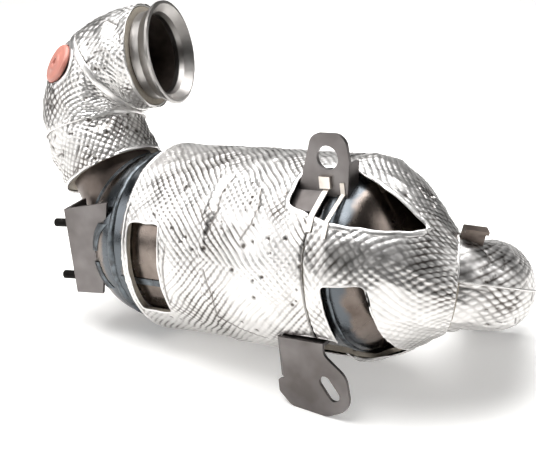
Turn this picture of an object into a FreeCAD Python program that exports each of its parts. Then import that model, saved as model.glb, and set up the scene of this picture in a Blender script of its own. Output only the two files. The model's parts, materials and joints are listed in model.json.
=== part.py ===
import FreeCAD, Part

import math
import os

import Sketcher
from FreeCAD import Placement, Rotation, Vector

# Catalytic converter: a close-coupled exhaust catalyst with its inlet elbow, canister and
# outlet pipe, wrapped in embossed heat-shield foil over an insulation mat.
#
# Everything is laid out in one frame: the canister's axis is X, the gas flows along +X, and
# the foil jacket starts at X = 0.  The whole layout is then turned and raised as the converter
# lies on a bench, on its jacket, its lower bracket and its outlet flange.

SIZES = {
    # how it lies
    "lie_yaw": 34.0,
    "lie_rise": 7.5,
    # canister shell and what it holds
    "shell_start": -20.0,
    "shell_end": 206.0,
    "shell_radius": 78.0,
    "steel_wall": 1.5,
    "support_mat": 4.5,
    "brick_length": 88.0,
    "brick_gap": 14.0,
    "brick_inset": 18.0,
    "cell_pitch": 16.0,
    "cell_wall": 2.5,
    "mat_inset": 4.0,
    "seam_angle": 12.0,
    "seam_width": 6.0,
    "seam_rise": 1.0,
    # insulation mat and foil jacket
    "foil_stand": 8.0,
    "foil_wall": 0.8,
    "skin_gap": 0.3,
    "mat_gap": 1.3,
    "mat_setback": 12.0,
    "window_setback": 2.0,
    "foil_seam": 86.0,
    "foil_end": 190.0,
    "foil_lap": 8.0,
    "hem_width": 4.0,
    "hem_rise": 1.4,
    # two thin straps from the lug down onto the jacket
    "strap_wall": 0.8,
    "front_strap_along": 193.0,
    "front_strap_width": 5.0,
    "front_strap_top": 76.0,
    "rear_strap_along": 208.0,
    "rear_strap_width": 4.0,
    "rear_strap_top": 78.0,
    # window in the jacket at the inlet end
    "window_start": 6.0,
    "window_end": 40.0,
    "window_top": 39.0,
    "window_bottom": -44.0,
    # window in the jacket at the outlet end
    "vent_start": 208.0,
    "vent_end": 250.0,
    "vent_top": 7.0,
    "vent_bottom": -74.0,
    # opening round the slotted bracket
    "foot_start": 155.0,
    "foot_end": 210.0,
    "foot_top": -45.0,
    # cut-out over the outlet dome
    "cutout_start": 166.0,
    "cutout_height": 62.5,
    "cutout_slope": 12.5,
    "cutout_back": -24.0,
    # inlet flange and elbow
    "flange_along": -25.0,
    "flange_aside": 50.0,
    "flange_height": 164.0,
    "flange_yaw": 14.0,
    "flange_rise": 6.0,
    "inlet_roll": 18.6,
    "inlet_radius": 39.0,
    "inlet_bend": 52.0,
    "inlet_turn": 111.0,
    "inlet_run": 37.0,
    "inlet_exit": 36.0,
    "inlet_mat": 7.5,
    "inlet_lip": 48.5,
    "inlet_stub": 52.0,
    "inlet_dome": 66.0,
    "inlet_knuckle": 50.0,
    "elbow_first": 36.0,
    "elbow_second": 82.0,
    "elbow_lap": 4.0,
    # outlet dome, elbow and flange
    "outlet_dome": 50.0,
    "outlet_knuckle": 30.0,
    "outlet_drop": 13.0,
    "outlet_radius": 31.75,
    "outlet_entry": 12.0,
    "outlet_start": 250.0,
    "outlet_bend": 40.0,
    "outlet_turn": 113.5,
    "outlet_roll": 23.3,
    "outlet_mat": 4.6,
    "outlet_lip": 42.0,
    "outlet_bare": 30.0,
    "cone_turn": 38.0,
    "seam_lip": 4.0,
    "tab_angle": 44.0,
    "tab_wall": 3.0,
    "tab_width": 20.0,
    "tab_reach": 53.0,
    # both flanges
    "lip_depth": 3.0,
    "lip_land": 1.5,
    "bell_depth": 12.0,
    "neck_wall": 2.5,
    "neck_length": 22.0,
    "socket_depth": 5.0,
    "fit_gap": 0.2,
    # weld beads
    "bead_width": 7.0,
    "bead_rise": 1.6,
    # sensor boss and cap
    "boss_angle": 52.0,
    "boss_roll": -50.0,
    "boss_radius": 14.0,
    "boss_bore": 9.0,
    "boss_height": 8.0,
    "cap_radius": 20.0,
    "cap_height": 9.0,
    "cap_plug": 7.0,
    # bracket with studs at the inlet end
    "stud_plate": 3.0,
    "stud_bracket_front": -76.0,
    "stud_bracket_left": -72.0,
    "stud_bracket_turn": 10.0,
    "stud_bracket_depth": 40.0,
    "stud_bracket_top": 44.0,
    "stud_bracket_bottom": -37.0,
    "stud_radius": 4.0,
    "stud_length": 26.0,
    "stud_high": 24.0,
    "stud_low": -28.0,
    # lug bracket on top
    "lug_front": -42.0,
    "lug_plate": 3.5,
    "lug_left": 166.0,
    "lug_right": 216.0,
    "lug_top": 118.0,
    "lug_hole_along": 196.0,
    "lug_hole_height": 98.0,
    "lug_hole": 10.0,
    "lug_corner": 11.0,
    "lug_return": 15.0,
    # slotted bracket underneath
    "foot_front": -80.0,
    "foot_plate": 3.0,
    "foot_along": 200.0,
    "foot_corner": 6.0,
    "slot_tilt": 33.7,
    "slot_radius": 5.5,
    "slot_length": 13.0,
}

doc = FreeCAD.newDocument("catalytic_converter")
sheet = doc.addObject("Spreadsheet::Sheet", "sizes")
for row, (alias, value) in enumerate(SIZES.items(), start=1):
    sheet.set("A%d" % row, alias)
    sheet.set("B%d" % row, str(value))
    sheet.setAlias("B%d" % row, alias)
doc.recompute()

# the jacket's radius and the brick's, both from the shell that they go round and into
FOIL = "(sizes.shell_radius + sizes.foil_stand)"
BRICK = "(sizes.shell_radius - sizes.steel_wall - sizes.support_mat)"

X_AXIS = Vector(1, 0, 0)
Y_AXIS = Vector(0, 1, 0)
Z_AXIS = Vector(0, 0, 1)


def size(alias):
    return float(sheet.get(alias))


def worth(expression):
    """The number that an expression in the sheet's sizes gives."""
    return float(sheet.evalExpression(expression))


# ---------------------------------------------------------------- frames

LIE = Placement(Vector(), Rotation(Z_AXIS, -size("lie_yaw")) * Rotation(Y_AXIS, -size("lie_rise")))


def axes(across, along):
    """A rotation whose X is `across` and whose Z is `along`."""
    return Rotation(across, Vector(), along, "ZXY")


def frame_of_inlet():
    """Origin where the inlet bend starts, X with the gas, Y towards the bend's centre."""
    level = Rotation(Z_AXIS, size("flange_yaw")) * Rotation(Y_AXIS, -size("flange_rise"))
    outward = level.multVec(X_AXIS)
    down = (Rotation(outward, -size("inlet_roll")) * level).multVec(-Z_AXIS)
    face = Vector(size("flange_along"), size("flange_aside"), size("flange_height"))
    start = face - outward * size("inlet_run")
    flow = -outward
    return Placement(start, Rotation(flow, down, flow.cross(down), "XYZ"))


def frame_of_outlet():
    """Origin where the outlet bend starts, X with the gas, Y towards the bend's centre."""
    start = Vector(size("outlet_start"), 0, -size("outlet_drop"))
    return Placement(start, Rotation(X_AXIS, -size("outlet_roll")))


INLET = frame_of_inlet()
OUTLET = frame_of_outlet()


def on_bend(bend, angle, run=0.0):
    """Place at `angle` round a bend, then `run` further on, with X along the pipe."""
    turn = math.radians(angle)
    tangent = Vector(math.cos(turn), math.sin(turn), 0)
    place = Vector(bend * math.sin(turn), bend * (1 - math.cos(turn)), 0) + tangent * run
    return Placement(place, Rotation(Z_AXIS, angle))


INLET_END = INLET * on_bend(size("inlet_bend"), size("inlet_turn"), size("inlet_exit"))


def outlet_run():
    """Straight run after the outlet bend that brings the flange's lip down to the bench."""
    bend_end = LIE * OUTLET * on_bend(size("outlet_bend"), size("outlet_turn"))
    heading = bend_end.Rotation.multVec(X_AXIS)
    bench = -worth(f"{FOIL} + sizes.hem_rise") * math.cos(math.radians(size("lie_rise")))
    lip = size("outlet_lip") * math.sqrt(1 - heading.z ** 2)
    return (bend_end.Base.z - bench - lip) / -heading.z


OUTLET_RUN = outlet_run()
OUTLET_END = OUTLET * on_bend(size("outlet_bend"), size("outlet_turn"), OUTLET_RUN)

PANELS = 40

placed = []
nodes = []


def keep(item, label):
    """Names a finished sub-part and lists it for the writer."""
    item.Label = label
    nodes.append(item)
    return item


def place(item, frame=Placement()):
    item.Placement = LIE * frame
    placed.append(item)
    return item


# ---------------------------------------------------------------- sketches and features

def new_body(name, frame=Placement()):
    return place(doc.addObject("PartDesign::Body", name), frame)


def sketch_on(body, plane, offset=Placement()):
    sketch = body.newObject("Sketcher::SketchObject", body.Name + "_sketch")
    support = next(item for item in body.Origin.OriginFeatures if item.Role == plane)
    sketch.AttachmentSupport = [(support, "")]
    sketch.MapMode = "FlatFace"
    sketch.AttachmentOffset = offset
    return sketch


def draw_rings(sketch, *radii):
    """Circles about the sketch's origin, each radius an expression."""
    for expression in radii:
        circle = sketch.addGeometry(Part.Circle(Vector(), Z_AXIS, worth(expression)), False)
        sketch.addConstraint(Sketcher.Constraint("Coincident", circle, 3, -1, 1))
        radius = sketch.addConstraint(Sketcher.Constraint("Radius", circle, worth(expression)))
        sketch.setExpression("Constraints[%d]" % radius, expression)


def draw_outline(sketch, corners):
    """A closed outline of straight edges; each corner is a pair of expressions or numbers."""
    corners = [(str(x), str(y)) for x, y in corners]
    points = [Vector(worth(x), worth(y), 0) for x, y in corners]
    count = len(points)
    edges = [sketch.addGeometry(Part.LineSegment(points[i], points[(i + 1) % count]), False)
             for i in range(count)]
    for i, edge in enumerate(edges):
        sketch.addConstraint(Sketcher.Constraint("Coincident", edge, 2, edges[(i + 1) % count], 1))
        for kind, expression, value in (("DistanceX", corners[i][0], points[i].x),
                                        ("DistanceY", corners[i][1], points[i].y)):
            number = sketch.addConstraint(Sketcher.Constraint(kind, -1, 1, edge, 1, value))
            sketch.setExpression("Constraints[%d]" % number, expression)


def revolve(body, sketch, axis):
    feature = body.newObject("PartDesign::Revolution", body.Name + "_turned")
    feature.Profile = sketch
    feature.ReferenceAxis = (sketch, [axis])
    feature.Angle = 360
    return feature


def pad(body, sketch, length, both=False, reverse=False):
    feature = body.newObject("PartDesign::Pad", body.Name + "_pad")
    feature.Profile = sketch
    feature.Length = worth(length)
    feature.setExpression("Length", length)
    feature.Midplane = both
    feature.Reversed = reverse
    return feature


def soften(body, feature, radius, wanted):
    """Fillets the edges of `feature` that `wanted` accepts."""
    doc.recompute()
    names = ["Edge%d" % (i + 1) for i, edge in enumerate(feature.Shape.Edges) if wanted(edge)]
    fillet = body.newObject("PartDesign::Fillet", body.Name + "_fillet")
    fillet.Base = (feature, names)
    fillet.Radius = radius
    return fillet


def swept(name, frame, bend, turn, section, entry=0.0, run=0.0, begin=0.0):
    """A pipe along a straight entry, a bend from `begin` to `turn` degrees and a straight run.

    The section is a tuple of radii, or a function that draws it."""
    body = new_body(name, frame)
    spine = sketch_on(body, "XY_Plane")
    radius = worth(bend)
    edges = []
    first = on_bend(radius, begin)
    if entry:
        edges.append(Part.LineSegment(Vector(-entry, 0, 0), Vector()))
        first = on_bend(radius, 0, -entry)
    circle = Part.Circle(Vector(0, radius, 0), Z_AXIS, radius)
    quarter = math.pi / 2
    edges.append(Part.ArcOfCircle(circle, math.radians(begin) - quarter, math.radians(turn) - quarter))
    last = on_bend(radius, turn)
    if run:
        edges.append(Part.LineSegment(last.Base, on_bend(radius, turn, run).Base))
    numbers = [spine.addGeometry(edge, False) for edge in edges]
    for before, after in zip(numbers, numbers[1:]):
        spine.addConstraint(Sketcher.Constraint("Coincident", before, 2, after, 1))
    arc = numbers[1] if entry else numbers[0]
    bound = spine.addConstraint(Sketcher.Constraint("Radius", arc, radius))
    spine.setExpression("Constraints[%d]" % bound, bend)
    around = Rotation(Y_AXIS, first.Rotation.toEuler()[0])
    profile = sketch_on(body, "YZ_Plane", Placement(Vector(first.Base.y, 0, first.Base.x), around))
    if callable(section):
        section(profile)
    else:
        draw_rings(profile, *section)
    pipe = body.newObject("PartDesign::AdditivePipe", body.Name + "_pipe")
    pipe.Profile = profile
    pipe.Spine = (spine, ["Edge%d" % (i + 1) for i in range(len(edges))])
    return body


def hooped(name, hoops, inset):
    """A solid of flat panels through round hoops (place, radius), taken in by `inset`."""
    rings = []
    for where, radius in hoops:
        reach = worth("%s - (%s)" % (radius, inset))
        angles = [2 * math.pi * number / PANELS for number in range(PANELS)]
        rings.append([where.multVec(Vector(reach * math.cos(turn), reach * math.sin(turn), 0))
                      for turn in angles])
    faces = [panel(rings[0]), panel(rings[-1])]
    for near, far in zip(rings, rings[1:]):
        for i in range(PANELS):
            following = (i + 1) % PANELS
            faces.append(panel((near[i], near[following], far[i])))
            faces.append(panel((near[following], far[following], far[i])))
    item = doc.addObject("Part::Feature", name)
    item.Shape = Part.Solid(Part.Shell(faces))
    return place(item)


def panel(corners):
    return Part.Face(Part.makePolygon(list(corners) + [corners[0]]))


def combine(kind, name, base, tool):
    item = doc.addObject(kind, name)
    item.Base = base
    item.Tool = tool
    return item


def cut(name, base, tool):
    return combine("Part::Cut", name, base, tool)


def common(name, base, tool):
    return combine("Part::Common", name, base, tool)


def fuse(name, *shapes):
    item = doc.addObject("Part::MultiFuse", name)
    item.Shapes = list(shapes)
    return item


def rod(name, radius, start, end, frame=Placement()):
    """A solid cylinder along the frame's X axis between two expressions."""
    item = doc.addObject("Part::Cylinder", name)
    item.setExpression("Radius", radius)
    item.setExpression("Height", "(%s) - (%s)" % (end, start))
    along = Placement(Vector(worth(start), 0, 0), Rotation(Z_AXIS, X_AXIS))
    return place(item, frame * along)


def sleeve(name, outer, inner, start, end, frame=Placement()):
    """A round sleeve along the frame's X axis."""
    body = new_body(name, frame)
    sketch = sketch_on(body, "XY_Plane")
    draw_outline(sketch, ((start, inner), (end, inner), (end, outer), (start, outer)))
    revolve(body, sketch, "H_Axis")
    return body


def prism(name, plane, corners, start, depth, frame=Placement()):
    """A flat piece drawn in one of the frame's planes, from `start` on through `depth`."""
    body = new_body(name, frame)
    low = worth(start)
    offset = -low - worth(depth) if plane == "XZ_Plane" else low
    sketch = sketch_on(body, plane, Placement(Vector(0, 0, offset), Rotation()))
    draw_outline(sketch, corners)
    pad(body, sketch, depth)
    return body


def upright(edge, corners):
    """Whether an edge runs along Y through one of the listed (x, z) corners."""
    first, last = edge.Vertexes[0].Point, edge.Vertexes[-1].Point
    if abs(first.x - last.x) + abs(first.z - last.z) > 0.01:
        return False
    return any(math.hypot(first.x - worth(str(x)), first.z - worth(str(z))) < 0.05 for x, z in corners)


# ---------------------------------------------------------------- flanges and pipes

def flange(name, frame, pipe, lip):
    """A V-band flange: lip, bell mouth and neck with a socket for the pipe; X points outward."""
    body = new_body(name, frame)
    neck = pipe + " + sizes.neck_wall"
    bore = pipe + " - sizes.steel_wall"
    shoulder = "-sizes.neck_length + sizes.socket_depth"
    corners = (
        ("0", lip + " - 2 * sizes.lip_land"),
        ("0", lip + " - sizes.lip_land"),
        ("-sizes.lip_land / 2", lip),
        ("-sizes.lip_depth", lip),
        ("-sizes.bell_depth", neck + " + sizes.lip_land"),
        ("-sizes.bell_depth - sizes.lip_land", neck),
        ("-sizes.neck_length", neck),
        ("-sizes.neck_length", pipe + " + sizes.fit_gap"),
        (shoulder, pipe + " + sizes.fit_gap"),
        (shoulder, bore),
        ("-sizes.bell_depth", bore),
        ("-0.62 * sizes.bell_depth", bore + " + 0.16 * (%s - %s)" % (lip, bore.replace(" - ", " + "))),
        ("-0.25 * sizes.bell_depth", bore + " + 0.5 * (%s - %s)" % (lip, bore.replace(" - ", " + "))),
    )
    sketch = sketch_on(body, "XY_Plane")
    draw_outline(sketch, corners)
    revolve(body, sketch, "H_Axis")
    return body


keep(flange("inlet_flange_body", INLET * Placement(Vector(-size("inlet_run"), 0, 0), Rotation(Z_AXIS, 180)),
            "sizes.inlet_radius", "sizes.inlet_lip"), "inlet_flange")
keep(flange("outlet_flange_body", OUTLET_END, "sizes.outlet_radius", "sizes.outlet_lip"),
     "outlet_flange")

SOCKET = worth("sizes.neck_length - sizes.socket_depth + sizes.fit_gap")
BOSS = (INLET * on_bend(size("inlet_bend"), size("boss_angle"))
        * Placement(Vector(), Rotation(X_AXIS, size("boss_roll")) * Rotation(Z_AXIS, -90)))

inlet_pipe = swept("inlet_pipe", INLET, "sizes.inlet_bend", size("inlet_turn"),
                   ("sizes.inlet_radius", "sizes.inlet_radius - sizes.steel_wall"),
                   entry=size("inlet_run") - SOCKET, run=worth("sizes.inlet_exit + sizes.inlet_stub"))
boss_hole = rod("boss_hole", "sizes.boss_bore", "0 * sizes.boss_bore", "sizes.inlet_radius + 10", BOSS)
keep(cut("inlet_pipe_drilled", inlet_pipe, boss_hole), "inlet_elbow_pipe")

keep(swept("outlet_pipe", OUTLET, "sizes.outlet_bend", size("outlet_turn"),
           ("sizes.outlet_radius", "sizes.outlet_radius - sizes.steel_wall"),
           entry=size("outlet_entry"), run=OUTLET_RUN - SOCKET), "outlet_elbow_pipe")

# ---------------------------------------------------------------- shell and its two domed heads

HEADS = {
    "inlet": Placement(Vector(worth("sizes.shell_start"), 0, 0), Rotation(Z_AXIS, 180)),
    "outlet": Placement(Vector(worth("sizes.shell_end"), 0, 0), Rotation()),
}


def head(name, end, grow, wall):
    """A dished head: a crown arc and a knuckle arc, turned, and grown by `grow` over its true skin."""
    frame = HEADS[end] * Placement(Vector(size("fit_gap"), 0, 0), Rotation())
    body = new_body(name, frame)
    sketch = sketch_on(body, "XY_Plane")
    rise = size(end + "_dome") + grow
    reach = size("shell_radius") + grow
    knuckle = size(end + "_knuckle") + grow
    crown = (rise ** 2 + reach ** 2 - 2 * reach * knuckle) / (2 * (rise - knuckle))
    lean = math.atan2(reach - knuckle, crown - rise)
    quarter = math.pi / 2

    def skin(inset):
        """The crown arc and the knuckle arc, from the axis out to the rim."""
        top = Part.Circle(Vector(rise - crown, 0, 0), Z_AXIS, crown - inset)
        corner = Part.Circle(Vector(0, reach - knuckle, 0), Z_AXIS, knuckle - inset)
        sketch.addGeometry(Part.ArcOfCircle(top, 0, lean), False)
        sketch.addGeometry(Part.ArcOfCircle(corner, lean, quarter), False)

    skin(0)
    if wall:
        skin(wall)
        edges = ((Vector(0, reach, 0), Vector(0, reach - wall, 0)),
                 (Vector(rise - wall, 0, 0), Vector(rise, 0, 0)))
    else:
        edges = ((Vector(0, reach, 0), Vector()), (Vector(), Vector(rise, 0, 0)))
    for first, last in edges:
        sketch.addGeometry(Part.LineSegment(first, last), False)
    revolve(body, sketch, "H_Axis")
    return body


INLET_EXIT = INLET * on_bend(size("inlet_bend"), size("inlet_turn"))
inlet_reach = rod("inlet_reach", "sizes.inlet_radius + sizes.fit_gap", "0 * sizes.inlet_exit",
                  "sizes.inlet_exit + sizes.inlet_stub", INLET_EXIT)
outlet_reach = rod("outlet_reach", "sizes.outlet_radius + sizes.fit_gap", "-2 * sizes.outlet_entry",
                   "sizes.outlet_entry", OUTLET)
keep(cut("inlet_dome_cut", head("inlet_dome_body", "inlet", 0, size("steel_wall")), inlet_reach),
     "inlet_dome")
keep(cut("outlet_dome_cut", head("outlet_dome_body", "outlet", 0, size("steel_wall")), outlet_reach),
     "outlet_dome")
inlet_core = head("inlet_core", "inlet", size("fit_gap"), 0)
outlet_core = head("outlet_core", "outlet", size("fit_gap"), 0)

keep(sleeve("shell_body", "sizes.shell_radius", "sizes.shell_radius - sizes.steel_wall",
            "sizes.shell_start", "sizes.shell_end"), "canister_shell")
shell_core = rod("shell_core", "sizes.shell_radius + sizes.fit_gap", "sizes.shell_start",
                 "sizes.shell_end")


def junction_bead(name, end, pipe, start, stop, frame):
    """A weld bead that follows the line where a pipe enters a head."""
    skin = head(name + "_skin", end, size("bead_rise"), size("bead_rise") - size("fit_gap"))
    near = rod(name + "_near", pipe + " + sizes.bead_width / 2", start, stop, frame)
    inside = rod(name + "_inside", pipe + " + sizes.fit_gap / 2", start + " - 20", stop + " + 20", frame)
    upper = prism(name + "_upper", "XZ_Plane",
                  (("sizes.shell_start - 50", "-5"), ("sizes.outlet_start + 20", "-5"),
                   ("sizes.outlet_start + 20", "sizes.shell_radius + 5"),
                   ("sizes.shell_start - 50", "sizes.shell_radius + 5")),
                  "-2 * sizes.shell_radius", "4 * sizes.shell_radius")
    band = common(name + "_band", common(name + "_near_band", skin, near), upper)
    return cut(name + "_ring", band, inside)


keep(junction_bead("inlet_bead", "inlet", "sizes.inlet_radius", "0 * sizes.inlet_exit",
                   "sizes.inlet_exit + sizes.inlet_stub", INLET_EXIT), "inlet_pipe_weld")
keep(junction_bead("outlet_bead", "outlet", "sizes.outlet_radius", "-2 * sizes.outlet_entry",
                   "sizes.outlet_entry", OUTLET), "outlet_pipe_weld")


def ring_bead(name, around, middle, frame=Placement()):
    """A weld bead with a low triangular crown round a pipe or the shell."""
    body = new_body(name, frame)
    sketch = sketch_on(body, "XY_Plane")
    under = around + " + sizes.fit_gap / 2"
    draw_outline(sketch, ((middle + " - sizes.bead_width / 2", under),
                          (middle + " + sizes.bead_width / 2", under),
                          (middle + " + sizes.bead_width / 4", around + " + sizes.bead_rise"),
                          (middle + " - sizes.bead_width / 4", around + " + sizes.bead_rise")))
    revolve(body, sketch, "H_Axis")
    return body


keep(ring_bead("inlet_shell_bead", "sizes.shell_radius", "sizes.shell_start"), "inlet_dome_weld")
keep(ring_bead("outlet_shell_bead", "sizes.shell_radius", "sizes.shell_end"), "outlet_dome_weld")

seam = new_body("shell_seam", Placement(Vector(), Rotation(X_AXIS, size("seam_angle"))))
seam_sketch = sketch_on(seam, "XY_Plane", Placement(Vector(), Rotation()))
SEAM_START = "sizes.shell_start + sizes.bead_width"
SEAM_STOP = "sizes.shell_end - sizes.bead_width"
SEAM_ROOT = "-sizes.shell_radius - sizes.fit_gap / 2"
SEAM_CREST = "-sizes.shell_radius - sizes.seam_rise"
draw_outline(seam_sketch, ((SEAM_START, SEAM_ROOT), (SEAM_STOP, SEAM_ROOT),
                           (SEAM_STOP, SEAM_CREST), (SEAM_START, SEAM_CREST)))
seam_turn = revolve(seam, seam_sketch, "H_Axis")
seam_turn.Angle = 2 * math.degrees(math.asin(size("seam_width") / 2 / size("shell_radius")))
seam_turn.Midplane = True
keep(seam, "shell_seam_weld")

# ---------------------------------------------------------------- catalyst bricks and their mats


def brick(name, start):
    """A round ceramic brick with square gas channels right through it."""
    body = new_body(name, Placement(Vector(worth(start), 0, 0), Rotation()))
    sketch = sketch_on(body, "YZ_Plane")
    draw_rings(sketch, BRICK)
    pitch, cell = size("cell_pitch"), size("cell_pitch") - size("cell_wall")
    reach = worth(BRICK) - size("cell_wall")
    count = int(reach / pitch)
    for column in range(-count, count + 1):
        for row in range(-count, count + 1):
            corner = math.hypot(abs(column * pitch) + cell / 2, abs(row * pitch) + cell / 2)
            if corner < reach:
                low = Vector(column * pitch - cell / 2, row * pitch - cell / 2, 0)
                square = Part.makePlane(cell, cell, low).Edges
                for edge in square:
                    ends = [vertex.Point for vertex in edge.Vertexes]
                    sketch.addGeometry(Part.LineSegment(*ends), False)
    pad(body, sketch, "sizes.brick_length")
    return body


BRICKS = {
    "front": "sizes.shell_start + sizes.brick_inset",
    "rear": "sizes.shell_start + sizes.brick_inset + sizes.brick_length + sizes.brick_gap",
}
for end, start in BRICKS.items():
    keep(brick(end + "_brick_body", start), end + "_catalyst_brick")
    keep(sleeve(end + "_mat_body", "sizes.shell_radius - sizes.steel_wall", BRICK,
                start + " + sizes.mat_inset", start + " + sizes.brick_length - sizes.mat_inset"),
         end + "_support_mat")

# ---------------------------------------------------------------- sensor boss and its cap

boss = new_body("boss_body", BOSS)
boss_sketch = sketch_on(boss, "XY_Plane")
draw_outline(boss_sketch, (("sizes.inlet_radius - 6", "sizes.boss_bore"),
                           ("sizes.inlet_radius + sizes.boss_height", "sizes.boss_bore"),
                           ("sizes.inlet_radius + sizes.boss_height", "sizes.boss_radius - 1"),
                           ("sizes.inlet_radius + sizes.boss_height - 1", "sizes.boss_radius"),
                           ("sizes.inlet_radius - 6", "sizes.boss_radius")))
revolve(boss, boss_sketch, "H_Axis")
inlet_bend_core = swept("inlet_bend_core", INLET, "sizes.inlet_bend", size("inlet_turn"),
                        ("sizes.inlet_radius + sizes.fit_gap / 2",), entry=5)
keep(cut("boss_cut", boss, inlet_bend_core), "sensor_boss")

cap = new_body("cap_body", BOSS)
cap_sketch = sketch_on(cap, "XY_Plane")
CAP_SEAT = "sizes.inlet_radius + sizes.boss_height + sizes.fit_gap"
draw_outline(cap_sketch, ((CAP_SEAT + " - sizes.cap_plug", "0 * sizes.boss_bore"),
                          (CAP_SEAT + " - sizes.cap_plug", "sizes.boss_bore - 1.2"),
                          (CAP_SEAT + " - sizes.cap_plug + 1", "sizes.boss_bore - sizes.fit_gap"),
                          (CAP_SEAT, "sizes.boss_bore - sizes.fit_gap"),
                          (CAP_SEAT, "sizes.cap_radius"),
                          (CAP_SEAT + " + sizes.cap_height - 2.5", "sizes.cap_radius - 0.8"),
                          (CAP_SEAT + " + sizes.cap_height", "sizes.cap_radius - 3.5"),
                          (CAP_SEAT + " + sizes.cap_height", "sizes.boss_bore - 3"),
                          (CAP_SEAT + " + sizes.cap_height - 5", "sizes.boss_bore - 4"),
                          (CAP_SEAT + " + sizes.cap_height - 5", "0 * sizes.boss_bore")))
revolve(cap, cap_sketch, "H_Axis")
keep(cap, "sensor_boss_cap")

# ---------------------------------------------------------------- insulation and foil, inlet elbow

MAT_IN = "sizes.inlet_radius + sizes.skin_gap"
MAT_OUT = "sizes.inlet_radius + sizes.inlet_mat"
SKIN_IN = MAT_OUT + " + sizes.skin_gap"
SKIN_OUT = SKIN_IN + " + sizes.foil_wall"
LAP = "sizes.foil_wall + sizes.skin_gap"
FOIL_ENTRY = size("inlet_run") - size("neck_length") - 2
boss_opening = rod("boss_opening", "sizes.cap_radius + 2", "sizes.inlet_radius - 4",
                   "sizes.inlet_radius + 40", BOSS)


def elbow_piece(name, label, radii, begin, turn, entry=0.0, run=0.0, opened=True):
    piece = swept(name, INLET, "sizes.inlet_bend", turn, radii, entry, run, begin)
    return keep(cut(name + "_opened", piece, boss_opening) if opened else piece, label)


elbow_piece("elbow_mat", "elbow_insulation", (MAT_OUT, MAT_IN), 0, size("inlet_turn"),
            FOIL_ENTRY, size("inlet_exit") - 2)
elbow_piece("elbow_upper", "elbow_foil_upper", (SKIN_OUT, SKIN_IN), 0, size("elbow_first"),
            FOIL_ENTRY, opened=False)
elbow_piece("elbow_middle", "elbow_foil_middle", (SKIN_OUT + " + " + LAP, SKIN_IN + " + " + LAP),
            size("elbow_first") - size("elbow_lap"), size("elbow_second"))
elbow_piece("elbow_lower", "elbow_foil_lower", (SKIN_OUT, SKIN_IN),
            size("elbow_second") - size("elbow_lap"), size("inlet_turn"), 0, size("inlet_exit"))

# ---------------------------------------------------------------- openings in the jacket

FRONT = f"-1.3 * {FOIL}"
FRONT_DEPTH = FOIL


def window_box(name, grow):
    """The window over the shell at the inlet end, grown all round."""
    corners = (("sizes.window_start - %s" % grow, "sizes.window_bottom - %s" % grow),
               ("sizes.window_end + %s" % grow, "sizes.window_bottom - %s" % grow),
               ("sizes.window_end + %s" % grow, "sizes.window_top + %s" % grow),
               ("sizes.window_start - %s" % grow, "sizes.window_top + %s" % grow))
    return prism(name, "XZ_Plane", corners, FRONT, FRONT_DEPTH)


def vent_box(name, grow):
    """The vent in front of the outlet dome, narrower at its top."""
    corners = (("sizes.vent_start - %s" % grow, "sizes.vent_bottom - %s" % grow),
               ("sizes.vent_end + 12 + %s" % grow, "sizes.vent_bottom - %s" % grow),
               ("sizes.vent_end - 4 + %s" % grow, "sizes.vent_top + %s" % grow),
               ("sizes.vent_start - %s" % grow, "sizes.vent_top + %s" % grow))
    return prism(name, "XZ_Plane", corners, FRONT, FRONT_DEPTH)


def foot_box(name, grow):
    """The opening that the slotted bracket comes out of."""
    corners = (("sizes.foot_start - %s" % grow, f"-1.2 * {FOIL}"),
               ("sizes.foot_end + %s" % grow, f"-1.2 * {FOIL}"),
               ("sizes.foot_end + %s" % grow, "sizes.foot_top + %s" % grow),
               ("sizes.foot_start - %s" % grow, "sizes.foot_top + %s" % grow))
    return prism(name, "XZ_Plane", corners, FRONT, f"1.05 * {FOIL}")


def top_box(name, grow):
    """The cut-out over the outlet dome, which slopes down towards the outlet."""
    low = "sizes.cutout_height - %s" % grow
    reach = "(sizes.outlet_start + 30 - sizes.cutout_start)"
    corners = (("sizes.cutout_start - %s" % grow, low),
               ("sizes.outlet_start + 30", low + " - %s * tan(sizes.cutout_slope)" % reach),
               ("sizes.outlet_start + 30", f"2 * {FOIL}"),
               ("sizes.cutout_start - %s" % grow, f"2 * {FOIL}"))
    return prism(name, "XZ_Plane", corners, FRONT,
                 f"1.3 * {FOIL} + sizes.cutout_back + %s" % grow)


OPENINGS = {"window": window_box, "vent": vent_box, "foot": foot_box, "top": top_box}
BARE = {kind: draw(kind + "_cutter", "0") for kind, draw in OPENINGS.items()}
BORDER = {kind: cut(kind + "_border", OPENINGS[kind](kind + "_wider", "sizes.hem_width"), BARE[kind])
          for kind in ("window", "top")}
MAT_CUT = {kind: draw(kind + "_mat_cutter", "sizes.window_setback" if kind == "window"
                      else "sizes.mat_setback") for kind, draw in OPENINGS.items()}


def opened(name, skin, cutters, kinds):
    """A jacket piece or mat with the listed openings cut through it."""
    for kind in kinds:
        skin = cut("%s_%s" % (name, kind), skin, cutters[kind])
    return skin


def hemmed(name, skin, thicker, kinds, hems):
    """A jacket piece with its openings cut and a rolled hem round those in `hems`."""
    shape = opened(name, skin, BARE, kinds)
    rolls = [common("%s_%s_roll" % (name, kind), thicker, BORDER[kind]) for kind in hems]
    return fuse(name + "_hemmed", shape, *rolls)


# ---------------------------------------------------------------- canister mat and foil

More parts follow.
